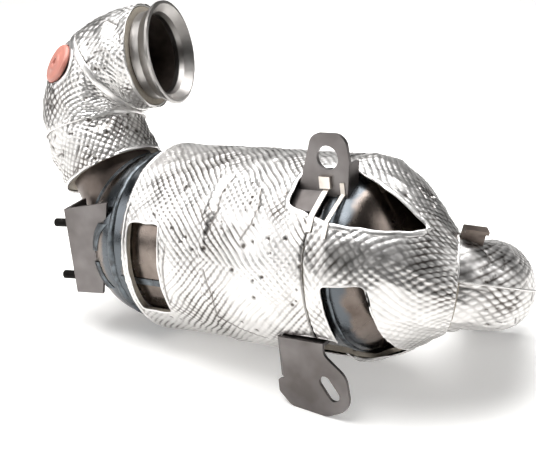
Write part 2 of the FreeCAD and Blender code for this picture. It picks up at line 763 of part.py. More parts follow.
keep(opened("canister_mat", sleeve("canister_mat_body", f"{FOIL} - sizes.foil_wall - sizes.skin_gap",
                                   "sizes.shell_radius + sizes.mat_gap", "sizes.skin_gap",
                                   "sizes.foil_end"), MAT_CUT, ("window", "foot", "top")),
     "canister_insulation")
foil_left = sleeve("foil_left", FOIL, f"{FOIL} - sizes.foil_wall",
                   "0 * sizes.foil_seam", "sizes.foil_seam + sizes.foil_lap")
roll_left = sleeve("roll_left", f"{FOIL} + sizes.hem_rise",
                   f"{FOIL} - sizes.foil_wall / 2", "0 * sizes.foil_seam", "sizes.foil_seam - 2")
end_roll = sleeve("end_roll", f"{FOIL} + sizes.hem_rise",
                  f"{FOIL} - sizes.foil_wall / 2", "0 * sizes.foil_seam", "sizes.hem_width")
keep(hemmed("foil_left_cut", fuse("foil_left_rolled", foil_left, end_roll), roll_left,
            ("window",), ("window",)), "canister_foil_left")

RIGHT_OUT = f"{FOIL} + sizes.foil_wall + sizes.skin_gap"
RIGHT_IN = f"{FOIL} + sizes.skin_gap"
foil_right = sleeve("foil_right", RIGHT_OUT, RIGHT_IN, "sizes.foil_seam", "sizes.foil_end")
roll_right = sleeve("roll_right", RIGHT_OUT + " + sizes.hem_rise", RIGHT_OUT + " - sizes.foil_wall / 2",
                    "sizes.foil_seam", "sizes.foil_end")
keep(hemmed("foil_right_cut", foil_right, roll_right, ("foot", "top"), ("top",)),
     "canister_foil_right")

# ---------------------------------------------------------------- outlet cone and elbow, mat and foil

ELBOW_OUT = "(sizes.outlet_radius + sizes.outlet_mat + sizes.skin_gap + sizes.foil_wall)"
outlet_normal = OUTLET.Rotation.multVec(Z_AXIS)
outlet_inward = OUTLET.Rotation.multVec(Y_AXIS)


def hoop(along, sideways, drop, tilt, radius):
    """A round section of the outlet cone: its place, leaned by `tilt` into the bend, and radius."""
    turn = math.radians(tilt)
    facing = X_AXIS * math.cos(turn) + outlet_inward * math.sin(turn)
    return Placement(Vector(along, sideways, -drop), axes(outlet_normal, facing)), radius


CONE_TILT = size("cone_turn")
TAB = OUTLET * on_bend(size("outlet_bend"), size("tab_angle")) * Placement(Vector(), Rotation(X_AXIS, 120))
tab_opening = prism("tab_opening", "YZ_Plane",
                    (("sizes.outlet_radius - 4", "-sizes.tab_wall"),
                     ("sizes.tab_reach + 4", "-sizes.tab_wall"),
                     ("sizes.tab_reach + 4", "sizes.tab_wall"),
                     ("sizes.outlet_radius - 4", "sizes.tab_wall")),
                    "-sizes.tab_width / 2 - 1", "sizes.tab_width + 2", TAB)
CONE_MOUTH = CONE_TILT - 3
cone_exit = (OUTLET * on_bend(size("outlet_bend"), CONE_MOUTH)).Base
cone_hoops = (
    hoop(worth("sizes.foil_end + sizes.skin_gap"), 0, 0, 0, RIGHT_OUT),
    hoop(worth("sizes.foil_end + 22"), 0, 0, 0, RIGHT_OUT + " - 0.5"),
    hoop(worth("sizes.outlet_start - 10"), 0, 3, 4, RIGHT_OUT + " - 15"),
    hoop(worth("sizes.outlet_start + 12"), 2, 9, 14, ELBOW_OUT + " + 18"),
    hoop(cone_exit.x, cone_exit.y, -cone_exit.z, CONE_MOUTH, ELBOW_OUT + " + 5"),
)


def cone_layer(name, outside, inside):
    """A layer of the outlet cone between two insets from its foil's outer face."""
    return cut(name, hooped(name + "_outside", cone_hoops, outside),
               hooped(name + "_inside", cone_hoops, inside))


NO_INSET = "0 * sizes.foil_wall"
cone_foil = cone_layer("cone_foil", NO_INSET, "sizes.foil_wall")
cone_roll = cone_layer("cone_roll", "-sizes.hem_rise", "-sizes.fit_gap / 2")
cone_mat = cone_layer("cone_mat", "sizes.foil_wall + sizes.skin_gap",
                      "sizes.foil_wall + sizes.outlet_mat - 0.3")
past_mouth = prism("past_mouth", "YZ_Plane",
                   [("%d * 1.5 * sizes.outlet_lip" % across, "%d * 1.5 * sizes.outlet_lip" % up)
                    for across, up in ((-1, -1), (1, -1), (1, 1), (-1, 1))],
                   "-sizes.skin_gap", "sizes.outlet_lip",
                   OUTLET * on_bend(size("outlet_bend"), CONE_TILT))
cone_foil = cut("cone_foil_tab", cut("cone_foil_mouth", cone_foil, past_mouth), tab_opening)
cone_mat = cut("cone_mat_tab", cut("cone_mat_mouth", cone_mat, past_mouth), tab_opening)
keep(opened("cone_foil_cut", cone_foil, BARE, ("foot", "top", "vent")), "outlet_foil_cone")
keep(opened("cone_edge_cut", common("cone_edge", cone_roll, BORDER["top"]), BARE, ("vent",)),
     "outlet_foil_edge_strip")
keep(opened("cone_mat_cut", cone_mat, MAT_CUT, ("foot", "top", "vent")), "outlet_cone_insulation")

FOIL_RUN = OUTLET_RUN - size("outlet_bare")


def half_shell(side):
    """Draws half of the elbow's foil, with a flat lip at the outside of the bend."""
    def draw(sketch):
        outer = worth(ELBOW_OUT)
        inner = outer - size("foil_wall")
        edge = size("fit_gap") / 2
        brim = edge + size("foil_wall")
        across = math.sqrt(inner ** 2 - edge ** 2)
        corners = ((-across, edge), (-outer - size("seam_lip"), edge), (-outer - size("seam_lip"), brim),
                   (-math.sqrt(outer ** 2 - brim ** 2), brim))
        points = [Vector(x, side * y, 0) for x, y in corners]
        for first, last in zip(points, points[1:]):
            sketch.addGeometry(Part.LineSegment(first, last), False)
        far = Vector(math.sqrt(outer ** 2 - edge ** 2), side * edge, 0)
        near = Vector(across, side * edge, 0)
        sketch.addGeometry(Part.LineSegment(far, near), False)
        sketch.addGeometry(Part.Arc(points[-1], Vector(0, side * outer, 0), far), False)
        sketch.addGeometry(Part.Arc(points[0], Vector(0, side * inner, 0), near), False)
    return draw


for half, side in (("upper", 1), ("lower", -1)):
    shell = swept("outlet_" + half, OUTLET, "sizes.outlet_bend", size("outlet_turn"), half_shell(side),
                  run=FOIL_RUN, begin=CONE_TILT)
    keep(cut("outlet_%s_cut" % half, shell, tab_opening), "outlet_foil_" + half)
outlet_mat = swept("outlet_mat_body", OUTLET, "sizes.outlet_bend", size("outlet_turn"),
                   ("sizes.outlet_radius + sizes.outlet_mat", "sizes.outlet_radius + sizes.skin_gap"),
                   run=FOIL_RUN - 2, begin=CONE_TILT)
keep(cut("outlet_mat_cut", outlet_mat, tab_opening), "outlet_insulation")
tab = prism("tab_body", "YZ_Plane",
            (("sizes.outlet_radius + sizes.fit_gap", "-sizes.tab_wall / 2"),
             ("sizes.tab_reach", "-sizes.tab_wall / 2"),
             ("sizes.tab_reach", "sizes.tab_wall / 2 + 6"),
             ("sizes.tab_reach - sizes.tab_wall", "sizes.tab_wall / 2 + 6"),
             ("sizes.tab_reach - sizes.tab_wall", "sizes.tab_wall / 2"),
             ("sizes.outlet_radius + sizes.fit_gap", "sizes.tab_wall / 2")),
            "-sizes.tab_width / 2", "sizes.tab_width", TAB)
keep(tab, "outlet_tab")

# ---------------------------------------------------------------- bracket with studs

STUDS = Placement(Vector(size("stud_bracket_left"), size("stud_bracket_front"), 0),
                  Rotation(Z_AXIS, size("stud_bracket_turn")))
PLATE = "sizes.stud_plate"
LOW, HIGH = "sizes.stud_bracket_bottom", "sizes.stud_bracket_top"
stud_front = prism("stud_front", "XZ_Plane", (("0", LOW), ("28", LOW), ("47", HIGH + " + 7"), ("0", HIGH)),
                   "0", PLATE, STUDS)
stud_web = prism("stud_web", "YZ_Plane", (("0", LOW), ("sizes.stud_bracket_depth", LOW),
                                         ("sizes.stud_bracket_depth", HIGH), ("0", HIGH)), "0", PLATE, STUDS)
stud_rear = prism("stud_rear", "XZ_Plane", (("0", LOW), ("40", LOW), ("47", HIGH), ("0", HIGH)),
                  "sizes.stud_bracket_depth - sizes.stud_plate", PLATE, STUDS)
stud_channel = fuse("stud_channel", stud_front, stud_web, stud_rear)
stud_trimmed = cut("stud_trimmed", cut("stud_head_cut", stud_channel, inlet_core), shell_core)
bead_reach = rod("bead_reach", "sizes.inlet_radius + sizes.bead_width / 2 + sizes.fit_gap",
                 "0 * sizes.inlet_exit", "sizes.inlet_exit + sizes.inlet_stub", INLET_EXIT)
keep(cut("stud_pipe_cut", stud_trimmed, bead_reach), "stud_bracket")


def stud(name, height):
    """A welded stud with a round collar, standing on the bracket's outer face."""
    middle = Vector(0, size("stud_bracket_depth") / 2, height)
    body = new_body(name, STUDS * Placement(middle, Rotation(Z_AXIS, 180)))
    sketch = sketch_on(body, "XY_Plane")
    seat = "sizes.fit_gap / 2"
    draw_outline(sketch, ((seat, "0"), ("sizes.stud_length", "0"),
                          ("sizes.stud_length", "sizes.stud_radius - 1"),
                          ("sizes.stud_length - 1", "sizes.stud_radius"),
                          ("2.5", "sizes.stud_radius"), ("2.5", "sizes.stud_radius + 2"),
                          (seat, "sizes.stud_radius + 2.5")))
    revolve(body, sketch, "H_Axis")
    return body


keep(fuse("studs", stud("stud_high_body", size("stud_high")), stud("stud_low_body", size("stud_low"))),
     "bracket_studs")
stud_skin = head("stud_skin", "inlet", size("bead_rise") + 0.4, size("bead_rise"))
stud_beads = []
for which, (low, high) in enumerate(((-30, -5), (6, 32))):
    strip = prism("stud_strip_%d" % which, "XZ_Plane", (("6", low), ("60", low), ("60", high), ("6", high)),
                  "-sizes.bead_width / 2", "sizes.bead_width / 2 - sizes.fit_gap / 2", STUDS)
    stud_beads.append(common("stud_bead_%d" % which, stud_skin, strip))
keep(fuse("stud_beads", *stud_beads), "stud_bracket_weld")

# ---------------------------------------------------------------- lug bracket on top

lug_plate = prism("lug_plate_body", "XZ_Plane",
                  (("sizes.lug_left - 8", "sizes.lug_top - 70"), ("sizes.lug_left + 17", "sizes.lug_top"),
                   ("sizes.lug_right - 2", "sizes.lug_top"), ("sizes.lug_right", "sizes.lug_top - 23"),
                   ("sizes.lug_right - 7", "sizes.lug_top - 70")),
                  "sizes.lug_front", "sizes.lug_plate")
lug_corners = (("sizes.lug_left + 17", "sizes.lug_top"), ("sizes.lug_right - 2", "sizes.lug_top"))
soften(lug_plate, lug_plate.Tip, size("lug_corner"), lambda edge: upright(edge, lug_corners))
lug_flange = prism("lug_flange_body", "XZ_Plane",
                   (("sizes.lug_right", "sizes.lug_top - 25"), ("sizes.lug_right - 6", "sizes.lug_top - 65"),
                    ("sizes.lug_right - 9.5", "sizes.lug_top - 65"),
                    ("sizes.lug_right - 3.5", "sizes.lug_top - 25")),
                   "sizes.lug_front + 1", "sizes.lug_return")
saddle = sleeve("saddle", "sizes.shell_radius + sizes.fit_gap + sizes.lug_plate",
                "sizes.shell_radius + sizes.fit_gap", "sizes.lug_left - 4", "sizes.lug_right - 24")
saddle_box = prism("saddle_box", "YZ_Plane",
                   (("sizes.lug_front - 16", "0"), ("sizes.lug_front + 2", "0"),
                    ("sizes.lug_front + 2", "sizes.lug_top"), ("sizes.lug_front - 16", "sizes.lug_top")),
                   "sizes.lug_left - 10", "60")
lug_rough = fuse("lug_rough", lug_plate, lug_flange, common("lug_saddle", saddle, saddle_box))
LUG_HOLE = Placement(Vector(size("lug_hole_along"), size("lug_front"), size("lug_hole_height")),
                     Rotation(Z_AXIS, 90))
lug_hole = rod("lug_hole", "sizes.lug_hole", "-10", "10", LUG_HOLE)
lug_drilled = cut("lug_drilled", lug_rough, lug_hole)
over_weld = rod("over_weld", "sizes.shell_radius + sizes.bead_rise + sizes.fit_gap",
                "sizes.shell_end - sizes.bead_width / 2 - sizes.fit_gap",
                "sizes.shell_end + sizes.bead_width / 2 + sizes.fit_gap")
lug_trimmed = cut("lug_dome_cut", cut("lug_shell_cut", lug_drilled, shell_core), outlet_core)
keep(cut("lug_weld_cut", lug_trimmed, over_weld), "lug_bracket")
lug_weld_ring = sleeve("lug_weld_ring", "sizes.shell_radius + sizes.bead_rise + 0.6",
                       "sizes.shell_radius + sizes.fit_gap / 2", "sizes.lug_left", "sizes.lug_right - 28")
lug_weld_box = prism("lug_weld_box", "YZ_Plane",
                     (("sizes.lug_front - 20", "0"), ("sizes.lug_front - 16.2", "0"),
                      ("sizes.lug_front - 16.2", "sizes.lug_top"), ("sizes.lug_front - 20", "sizes.lug_top")),
                     "sizes.lug_left - 10", "60")
keep(common("lug_weld_bead", lug_weld_ring, lug_weld_box), "lug_bracket_weld")

# ---------------------------------------------------------------- slotted bracket underneath


def bench(along):
    """Height of the bench under a point at `along`, as an expression."""
    return f"-{FOIL} - sizes.hem_rise - (%s) * tan(sizes.lie_rise)" % along


FOOT = "sizes.foot_along"
foot_corners = (
    (FOOT + " - 43", "-47"), (FOOT + " - 43", "-84"), (FOOT + " - 49", "-86"), (FOOT + " - 49", "-97"),
    (FOOT + " - 38", bench(FOOT + " - 38")), (FOOT + " - 4", bench(FOOT + " - 4")),
    (FOOT + " + 19", "-96"), (FOOT + " + 17", "-76"), (FOOT + " - 3", "-54"), (FOOT + " - 1", "-46"))
foot_plate = prism("foot_plate_body", "XZ_Plane", foot_corners, "sizes.foot_front", "sizes.foot_plate")
round_corners = [foot_corners[number] for number in (3, 5, 6, 7)]
soften(foot_plate, foot_plate.Tip, size("foot_corner"), lambda edge: upright(edge, round_corners))
foot_top = prism("foot_top", "XY_Plane",
                 ((FOOT + " - 43", "sizes.foot_front + 1"), (FOOT + " - 1", "sizes.foot_front + 1"),
                  (FOOT + " - 1", "-50"), (FOOT + " - 43", "-50")), "-50", "sizes.foot_plate")
foot_side = prism("foot_side", "XY_Plane",
                  ((FOOT + " - 42", "sizes.foot_front"), (FOOT + " - 42", "sizes.foot_front + 3"),
                   (FOOT + " - 46.5", "sizes.foot_front + 7"), (FOOT + " - 48.5", "sizes.foot_front + 5")),
                  "-84", "36")
SLOT = Placement(Vector(worth(FOOT + " + 1"), size("foot_front"), -87), Rotation(Z_AXIS, 90))
slot_tilt = math.radians(size("slot_tilt"))
slot_ends = []
for which, way in (("upper", 1), ("lower", -1)):
    middle = Vector(-way * math.sin(slot_tilt), 0, way * math.cos(slot_tilt)) * (size("slot_length") / 2)
    slot_ends.append(rod("slot_" + which, "sizes.slot_radius", "-10", "10",
                         Placement(SLOT.Base + middle, SLOT.Rotation)))
slot_body = prism("slot_middle", "XZ_Plane",
                  (("-sizes.slot_radius", "-sizes.slot_length / 2"),
                   ("sizes.slot_radius", "-sizes.slot_length / 2"),
                   ("sizes.slot_radius", "sizes.slot_length / 2"),
                   ("-sizes.slot_radius", "sizes.slot_length / 2")),
                  "-10", "20", Placement(SLOT.Base, Rotation(Y_AXIS, -size("slot_tilt"))))
foot_rough = fuse("foot_rough", foot_plate, foot_top, foot_side)
foot_cut = cut("foot_slotted", foot_rough, fuse("slot_cutter", slot_body, *slot_ends))
keep(cut("foot_shell_cut", foot_cut, shell_core), "slotted_bracket")

# ---------------------------------------------------------------- straps that hold the jacket's edge


def strap(name, along, width, top, seat):
    """A thin steel strip from the lug's face, over the jacket's hem and down onto the foil."""
    face = size("lug_front") - size("fit_gap") / 2
    rim = worth(RIGHT_OUT + " + sizes.hem_rise + sizes.fit_gap")
    edge = math.degrees(math.asin((size("cutout_height") - (along - size("cutout_start"))
                                   * math.tan(math.radians(size("cutout_slope")))) / rim))

    def on_rim(angle, lift):
        turn = math.radians(angle)
        return -(rim + lift) * math.cos(turn), (rim + lift) * math.sin(turn)

    wall = size("strap_wall")
    inner = [(face, top), (face, seat), on_rim(edge + 1, 0), on_rim(edge - 8, 0)]
    outer = [on_rim(edge - 8, wall), on_rim(edge + 1, wall), (face - wall, seat + wall * 0.7),
             (face - wall, top)]
    return prism(name, "YZ_Plane", inner + outer, str(along - width / 2), str(width))


HEAD_LEFT, HEAD_RIGHT = ("sizes.front_strap_along - 5", "sizes.front_strap_along + 5")
HEAD_BOTTOM, HEAD_TOP = ("sizes.front_strap_top - 3", "sizes.front_strap_top + 7")
strap_head = prism("strap_head", "XZ_Plane", ((HEAD_LEFT, HEAD_BOTTOM), (HEAD_RIGHT, HEAD_BOTTOM),
                                              (HEAD_RIGHT, HEAD_TOP), (HEAD_LEFT, HEAD_TOP)),
                   "sizes.lug_front - 3", "3 - sizes.fit_gap / 2")
front_strip = strap("front_strip", size("front_strap_along"), size("front_strap_width"),
                    size("front_strap_top"), worth("sizes.front_strap_top - 4"))
keep(fuse("front_strap_whole", strap_head, front_strip), "front_strap")
keep(strap("rear_strip", size("rear_strap_along"), size("rear_strap_width"),
           size("rear_strap_top"), worth("sizes.rear_strap_top - 10")), "rear_strap")

# ---------------------------------------------------------------- origin, checks and files

doc.recompute()
box = FreeCAD.BoundBox()
for item in nodes:
    box.add(item.Shape.optimalBoundingBox(False, False))
to_origin = Placement(Vector(-box.Center.x, -box.Center.y, -box.ZMin), Rotation())
for item in placed:
    item.Placement = to_origin * item.Placement
doc.recompute()

for item in doc.Objects:
    if "Invalid" in item.State or "Error" in item.State:
        raise RuntimeError("feature in error: " + item.Name)
os.makedirs("parts", exist_ok=True)
for item in nodes:
    if item.Shape.isNull() or not item.Shape.isValid():
        raise RuntimeError("bad shape: " + item.Label)
    item.Shape.exportStep("parts/%s.step" % item.Label)
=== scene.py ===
import json
import math

import bmesh
import bpy
import numpy as np
from mathutils import Matrix, Vector


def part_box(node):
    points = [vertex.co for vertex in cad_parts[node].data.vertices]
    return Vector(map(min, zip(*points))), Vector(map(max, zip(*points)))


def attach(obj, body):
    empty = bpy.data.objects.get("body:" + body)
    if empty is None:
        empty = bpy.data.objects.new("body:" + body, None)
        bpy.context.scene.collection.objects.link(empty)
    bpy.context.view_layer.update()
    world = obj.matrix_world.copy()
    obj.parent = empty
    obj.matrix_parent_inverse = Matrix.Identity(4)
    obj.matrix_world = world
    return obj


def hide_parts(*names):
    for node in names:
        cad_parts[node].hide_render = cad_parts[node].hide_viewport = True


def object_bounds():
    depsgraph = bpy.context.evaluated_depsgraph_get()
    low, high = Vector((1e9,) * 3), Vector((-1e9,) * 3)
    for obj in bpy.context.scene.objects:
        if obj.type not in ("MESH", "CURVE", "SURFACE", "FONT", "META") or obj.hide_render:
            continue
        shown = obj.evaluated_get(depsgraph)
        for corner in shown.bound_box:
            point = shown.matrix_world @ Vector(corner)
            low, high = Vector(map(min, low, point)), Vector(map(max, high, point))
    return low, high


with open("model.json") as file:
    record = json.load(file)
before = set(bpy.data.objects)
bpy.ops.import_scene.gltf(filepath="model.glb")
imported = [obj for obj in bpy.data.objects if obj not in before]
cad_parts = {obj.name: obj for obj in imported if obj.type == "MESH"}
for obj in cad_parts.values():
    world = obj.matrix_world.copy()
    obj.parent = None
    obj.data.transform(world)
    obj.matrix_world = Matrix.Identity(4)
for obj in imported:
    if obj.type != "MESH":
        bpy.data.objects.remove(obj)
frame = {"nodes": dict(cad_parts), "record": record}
first_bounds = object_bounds()

# ---------------------------------------------------------------- layout
# Lengths are in millimetres in the converter's own layout: X along the canister with the gas,
# Z up, and the jacket's left end at X = 0.  lay() takes them into the row's frame in metres.

YAW, RISE = 34.0, 7.5
SHELL_START, SHELL_END, SHELL_RADIUS = -20.0, 206.0, 78.0
LEFT_RADIUS, RIGHT_RADIUS = 86.0, 87.1
JACKET_SEAM, JACKET_END = 86.0, 190.0
TURN = np.array(
    Matrix.Rotation(math.radians(-YAW), 3, "Z") @ Matrix.Rotation(math.radians(-RISE), 3, "Y"))


def box_middle(node):
    low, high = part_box(node)
    return (np.array(low) + np.array(high)) / 2


SHELL_MIDDLE = np.array(((SHELL_START + SHELL_END) / 2, 0, 0))
ORIGIN = box_middle("canister_shell") - TURN @ SHELL_MIDDLE / 1000


def lay(points):
    """Layout millimetres to metres in the row's frame."""
    return np.asarray(points) @ TURN.T / 1000 + ORIGIN


def unit(vector):
    vector = np.asarray(vector, float)
    return vector / np.linalg.norm(vector)


def turned(axis, degrees):
    return np.array(Matrix.Rotation(math.radians(degrees), 3, Vector(axis)))


# The inlet elbow: how its flange faces, and the pipe from the flange into the bend
INLET_YAW, INLET_NOD, INLET_ROLL = 14.0, -6.0, -18.6
INLET_FACE, INLET_NECK = np.array((-25.0, 50.0, 164.0)), 37.0
INLET_BEND, INLET_TURN = 52.0, 111.0


def inlet_axes():
    """Columns: the way the gas flows, the way to the bend's centre, and their cross product."""
    level = turned((0, 0, 1), INLET_YAW) @ turned((0, 1, 0), INLET_NOD)
    outward = level[:, 0]
    down = turned(outward, INLET_ROLL) @ level @ np.array((0, 0, -1.0))
    return np.stack([-outward, down, np.cross(-outward, down)], axis=1)


INLET_AXES = inlet_axes()
INLET_START = INLET_FACE + INLET_AXES[:, 0] * INLET_NECK

# The outlet elbow: its axes read as the inlet's do
OUTLET_AXES = turned((1, 0, 0), -23.3)
OUTLET_START = np.array((250.0, 0, -13.0))
OUTLET_BEND, OUTLET_TURN, OUTLET_STRAIGHT = 40.0, 113.5, 123.8


def on_bend(start, axes, bend, degrees):
    """A place on a pipe's bend: its centre, the way the gas flows, and the way inward."""
    flow, inward, _ = axes.T
    angle = math.radians(degrees)
    centre = start + bend * math.sin(angle) * flow + bend * (1 - math.cos(angle)) * inward
    heading = math.cos(angle) * flow + math.sin(angle) * inward
    return centre, heading, math.cos(angle) * inward - math.sin(angle) * flow


# The sensor boss stands on the outside of the inlet elbow's bend, rolled towards the front
BOSS_ANGLE, BOSS_ROLL = 52.0, -50.0
BOSS_START, BOSS_ALONG, BOSS_INWARD = on_bend(INLET_START, INLET_AXES, INLET_BEND, BOSS_ANGLE)
BOSS_AXIS = -(math.cos(math.radians(BOSS_ROLL)) * BOSS_INWARD
              + math.sin(math.radians(BOSS_ROLL)) * INLET_AXES[:, 2])

# ---------------------------------------------------------------- materials

# A noise's scale is 1000 over the size of its patches in millimetres, since places are in metres.
# The sizes have many figures because they were matched at round numbers to the metre.
# Most stains and grains share this much fine detail, and use the middle of the noise's range.
SOFT = {"Detail": 3.0, "Roughness": 0.55}
MIDDLE = {"From Min": 0.3, "From Max": 0.7}
# Beside a ring weld the tint is full blue to the first distance and gone by the second, in metres,
# and its edge wanders by up to the third
BLUE_FULL, BLUE_GONE, BLUE_WANDERS = 0.0032, 0.008, 0.016


def colour(code):
    """A hex colour as linear RGBA."""
    parts = [int(code[i:i + 2], 16) / 255 for i in (1, 3, 5)]
    return [part / 12.92 if part <= 0.04045 else ((part + 0.055) / 1.055) ** 2.4
            for part in parts] + [1.0]


def feed(tree, node, inputs):
    """Sets each socket to a value, or links it to another node's output."""
    for key, value in inputs.items():
        if isinstance(value, bpy.types.NodeSocket):
            tree.links.new(value, node.inputs[key])
        else:
            node.inputs[key].default_value = value


def add(tree, kind, inputs, output=0, **settings):
    """Adds a node with its settings and links, and gives one of its outputs."""
    made = tree.nodes.new("ShaderNode" + kind)
    for name, value in settings.items():
        setattr(made, name, value)
    feed(tree, made, inputs)
    return made.outputs[output]


def new_material(name):
    """A material, its nodes, its shader, and the place on the converter in metres."""
    made = bpy.data.materials.new(name)
    made.use_nodes = True
    tree = made.node_tree
    return made, tree, tree.nodes["Principled BSDF"], add(tree, "TexCoord", {}, "Object")


def steel(name, pale, dark, rough_low, rough_high, stain_mm, grain_mm=0.666667, metallic=1.0):
    """Steel with soft stains, smears less than half their size, and a grain coarser than the real
    one so that it shows."""
    made, tree, shader, where = new_material(name)
    stain = add(tree, "TexNoise", {"Vector": where, "Scale": 1000 / stain_mm, **SOFT})
    amount = add(tree, "MapRange", {"Value": stain, **MIDDLE})
    smear = add(tree, "TexNoise", {"Vector": where, "Scale": 2300 / stain_mm, **SOFT})
    grain = add(tree, "TexNoise", {"Vector": where, "Scale": 1000 / grain_mm, **SOFT, "Detail": 2.0})
    feed(tree, shader, {
        "Base Color": add(tree, "Mix", {0: amount, 6: colour(pale), 7: colour(dark)}, 2,
                          data_type="RGBA"),
        "Roughness": add(tree, "MapRange", {"Value": smear, **MIDDLE, "To Min": rough_low,
                                            "To Max": rough_high}),
        "Metallic": metallic,
        "Normal": add(tree, "Bump", {"Height": grain, "Distance": 0.00005, "Strength": 1.0}),
    })
    return made


def heat_tinted(name, pale, dark, blue, rough_low, rough_high):
    """Sheet that has run hot: brown and straw, with a ragged blue-grey band beside each ring weld."""
    made, tree, shader, where = new_material(name)
    blotch = add(tree, "TexNoise", {"Vector": where, "Scale": 1000 / 55.5556, **SOFT, "Detail": 4.0})
    amount = add(tree, "MapRange", {"Value": blotch, **MIDDLE})
    body = add(tree, "Mix", {0: amount, 6: colour(pale), 7: colour(dark)}, 2, data_type="RGBA")
    ragged = add(tree, "TexNoise", {"Vector": where, "Scale": 1000 / 16.6667, **SOFT})
    wander = add(tree, "Math", {0: ragged, 1: BLUE_WANDERS}, operation="MULTIPLY")
    for weld_at in (SHELL_END, SHELL_START):
        away = add(tree, "VectorMath", {0: where, 1: tuple(lay((weld_at, 0, 0)))},
                   operation="SUBTRACT")
        along = add(tree, "VectorMath", {0: away, 1: tuple(TURN[:, 0])}, "Value",
                    operation="DOT_PRODUCT")
        far = add(tree, "Math", {0: along}, operation="ABSOLUTE")
        near = add(tree, "Math", {0: far, 1: wander}, operation="SUBTRACT")
        amount = add(tree, "MapRange", {"Value": near, "From Min": BLUE_FULL, "From Max": BLUE_GONE,
                                        "To Min": 1.0, "To Max": 0.0})
        body = add(tree, "Mix", {0: amount, 6: body, 7: colour(blue)}, 2, data_type="RGBA")
    smear = add(tree, "TexNoise", {"Vector": where, "Scale": 1000 / 22.2222, **SOFT})
    grain = add(tree, "TexNoise", {"Vector": where, "Scale": 1000 / 1.11111, **SOFT, "Detail": 2.0})
    feed(tree, shader, {
        "Base Color": body,
        "Roughness": add(tree, "MapRange", {"Value": smear, **MIDDLE, "To Min": rough_low,
                                            "To Max": rough_high}),
        "Metallic": 1.0,
        "Normal": add(tree, "Bump", {"Height": grain, "Distance": 0.00006, "Strength": 1.0}),
    })
    return made


def embossing(tree):
    """The rolled pattern, 0 in its valleys and 1 on its crests, from the sheet's lattice."""
    lattice = add(tree, "Attribute", {}, "Vector", attribute_name="lattice")
    phases = add(tree, "SeparateXYZ", {0: lattice}).node.outputs
    crests = []
    for axis in ("X", "Y"):
        angle = add(tree, "Math", {0: phases[axis], 1: 2 * math.pi}, operation="MULTIPLY")
        wave = add(tree, "Math", {0: angle}, operation="COSINE")
        crests.append(add(tree, "Math", {0: wave, 1: 0.5, 2: 0.5}, operation="MULTIPLY_ADD"))
    bumps = add(tree, "Math", {0: crests[0], 1: crests[1]}, operation="MULTIPLY")
    ridges = add(tree, "Mix", {0: phases["Z"], 2: crests[1], 3: crests[0]})
    merge = add(tree, "Attribute", {}, "Fac", attribute_name="merge")
    return add(tree, "Mix", {0: merge, 2: bumps, 3: ridges})


def foil(name, pale, dull, rough_low, rough_high, relief_mm, embossed):
    """Stainless foil: bright on its crests, with painted shade in its valleys and creases and faint random
    stains.
    """
    made, tree, shader, where = new_material(name)
    # Painted shade: the sheet's per-point map darkens its creases, dents and pricks
    painted_shade = add(tree, "Attribute", {}, "Fac", attribute_name="pit_and_crease_shade")
    height = add(tree, "TexNoise", {"Vector": where, "Scale": 1000 / 2.38095, **SOFT})
    if embossed:
        pattern = embossing(tree)
        # Painted shade in the valleys of the rolled pattern, deepest at their bottoms and heavier in some
        # patches than others
        below = add(tree, "Math", {0: 1.0, 1: pattern}, operation="SUBTRACT", use_clamp=True)
        valley = add(tree, "Math", {0: below, 1: 3.6}, operation="POWER")
        patch = add(tree, "TexNoise", {"Vector": where, "Scale": 1000 / 52.6316, **SOFT})
        patches = add(tree, "MapRange", {"Value": patch, "From Min": 0.42, "From Max": 0.64,
                                         "To Min": 0.08})
        valley_shade = add(tree, "Math", {0: valley, 1: patches}, operation="MULTIPLY")
        painted_shade = add(tree, "Math", {0: painted_shade, 1: valley_shade}, operation="MAXIMUM")
        crest = add(tree, "Math", {0: pattern, 1: 0.5}, operation="POWER")
        creasing = add(tree, "Math", {0: height, 1: 0.35}, operation="MULTIPLY")
        height = add(tree, "Math", {0: crest, 1: creasing}, operation="ADD")
    blotch = add(tree, "TexNoise", {"Vector": where, "Scale": 1000 / 41.6667, **SOFT, "Detail": 4.0})
    stain = add(tree, "MapRange", {"Value": blotch, **MIDDLE, "To Max": 0.16})
    amount = add(tree, "Math", {0: painted_shade, 1: stain}, operation="ADD", use_clamp=True)
    smear = add(tree, "TexNoise", {"Vector": where, "Scale": 1000 / 8.33333, **SOFT})
    feed(tree, shader, {
        "Base Color": add(tree, "Mix", {0: amount, 6: colour(pale), 7: colour(dull)}, 2,
                          data_type="RGBA"),
        "Roughness": add(tree, "MapRange", {"Value": smear, **MIDDLE, "To Min": rough_low,
                                            "To Max": rough_high}),
        "Metallic": 1.0,
        "Normal": add(tree, "Bump", {"Height": height, "Distance": relief_mm / 1000,
                                     "Strength": 1.0}),
    })
    return made


def matt(name, pale, dark, rough, grain_mm, relief_mm):
    """A dull non-metal: clouds of colour, and a relief four times finer."""
    made, tree, shader, where = new_material(name)
    cloud = add(tree, "TexNoise", {"Vector": where, "Scale": 1000 / grain_mm, **SOFT})
    grain = add(tree, "TexNoise", {"Vector": where, "Scale": 4000 / grain_mm, **SOFT})
    feed(tree, shader, {
        "Base Color": add(tree, "Mix", {0: cloud, 6: colour(pale), 7: colour(dark)}, 2,
                          data_type="RGBA"),
        "Roughness": rough,
        "Normal": add(tree, "Bump", {"Height": grain, "Distance": relief_mm / 1000,
                                     "Strength": 1.0}),
    })
    return made


# Stainless steel, turned on a lathe: smooth and bright, a little cloudy
flange_steel = steel("turned_stainless", "#b4b1ae", "#8b8784", 0.28, 0.42, 38.4615)
# Stainless tube, bent and then run hot: brown oxide that half hides the metal's shine
pipe_steel = steel("oxidised_stainless", "#756a63", "#413833", 0.3, 0.5, 29.4118, metallic=0.75)
# Stainless sheet, cold rolled: near a mirror, browned by heat and blue-grey beside its welds
shell_steel = heat_tinted("heat_tinted_stainless", "#8d837c", "#4a403a", "#575b5f", 0.16, 0.34)
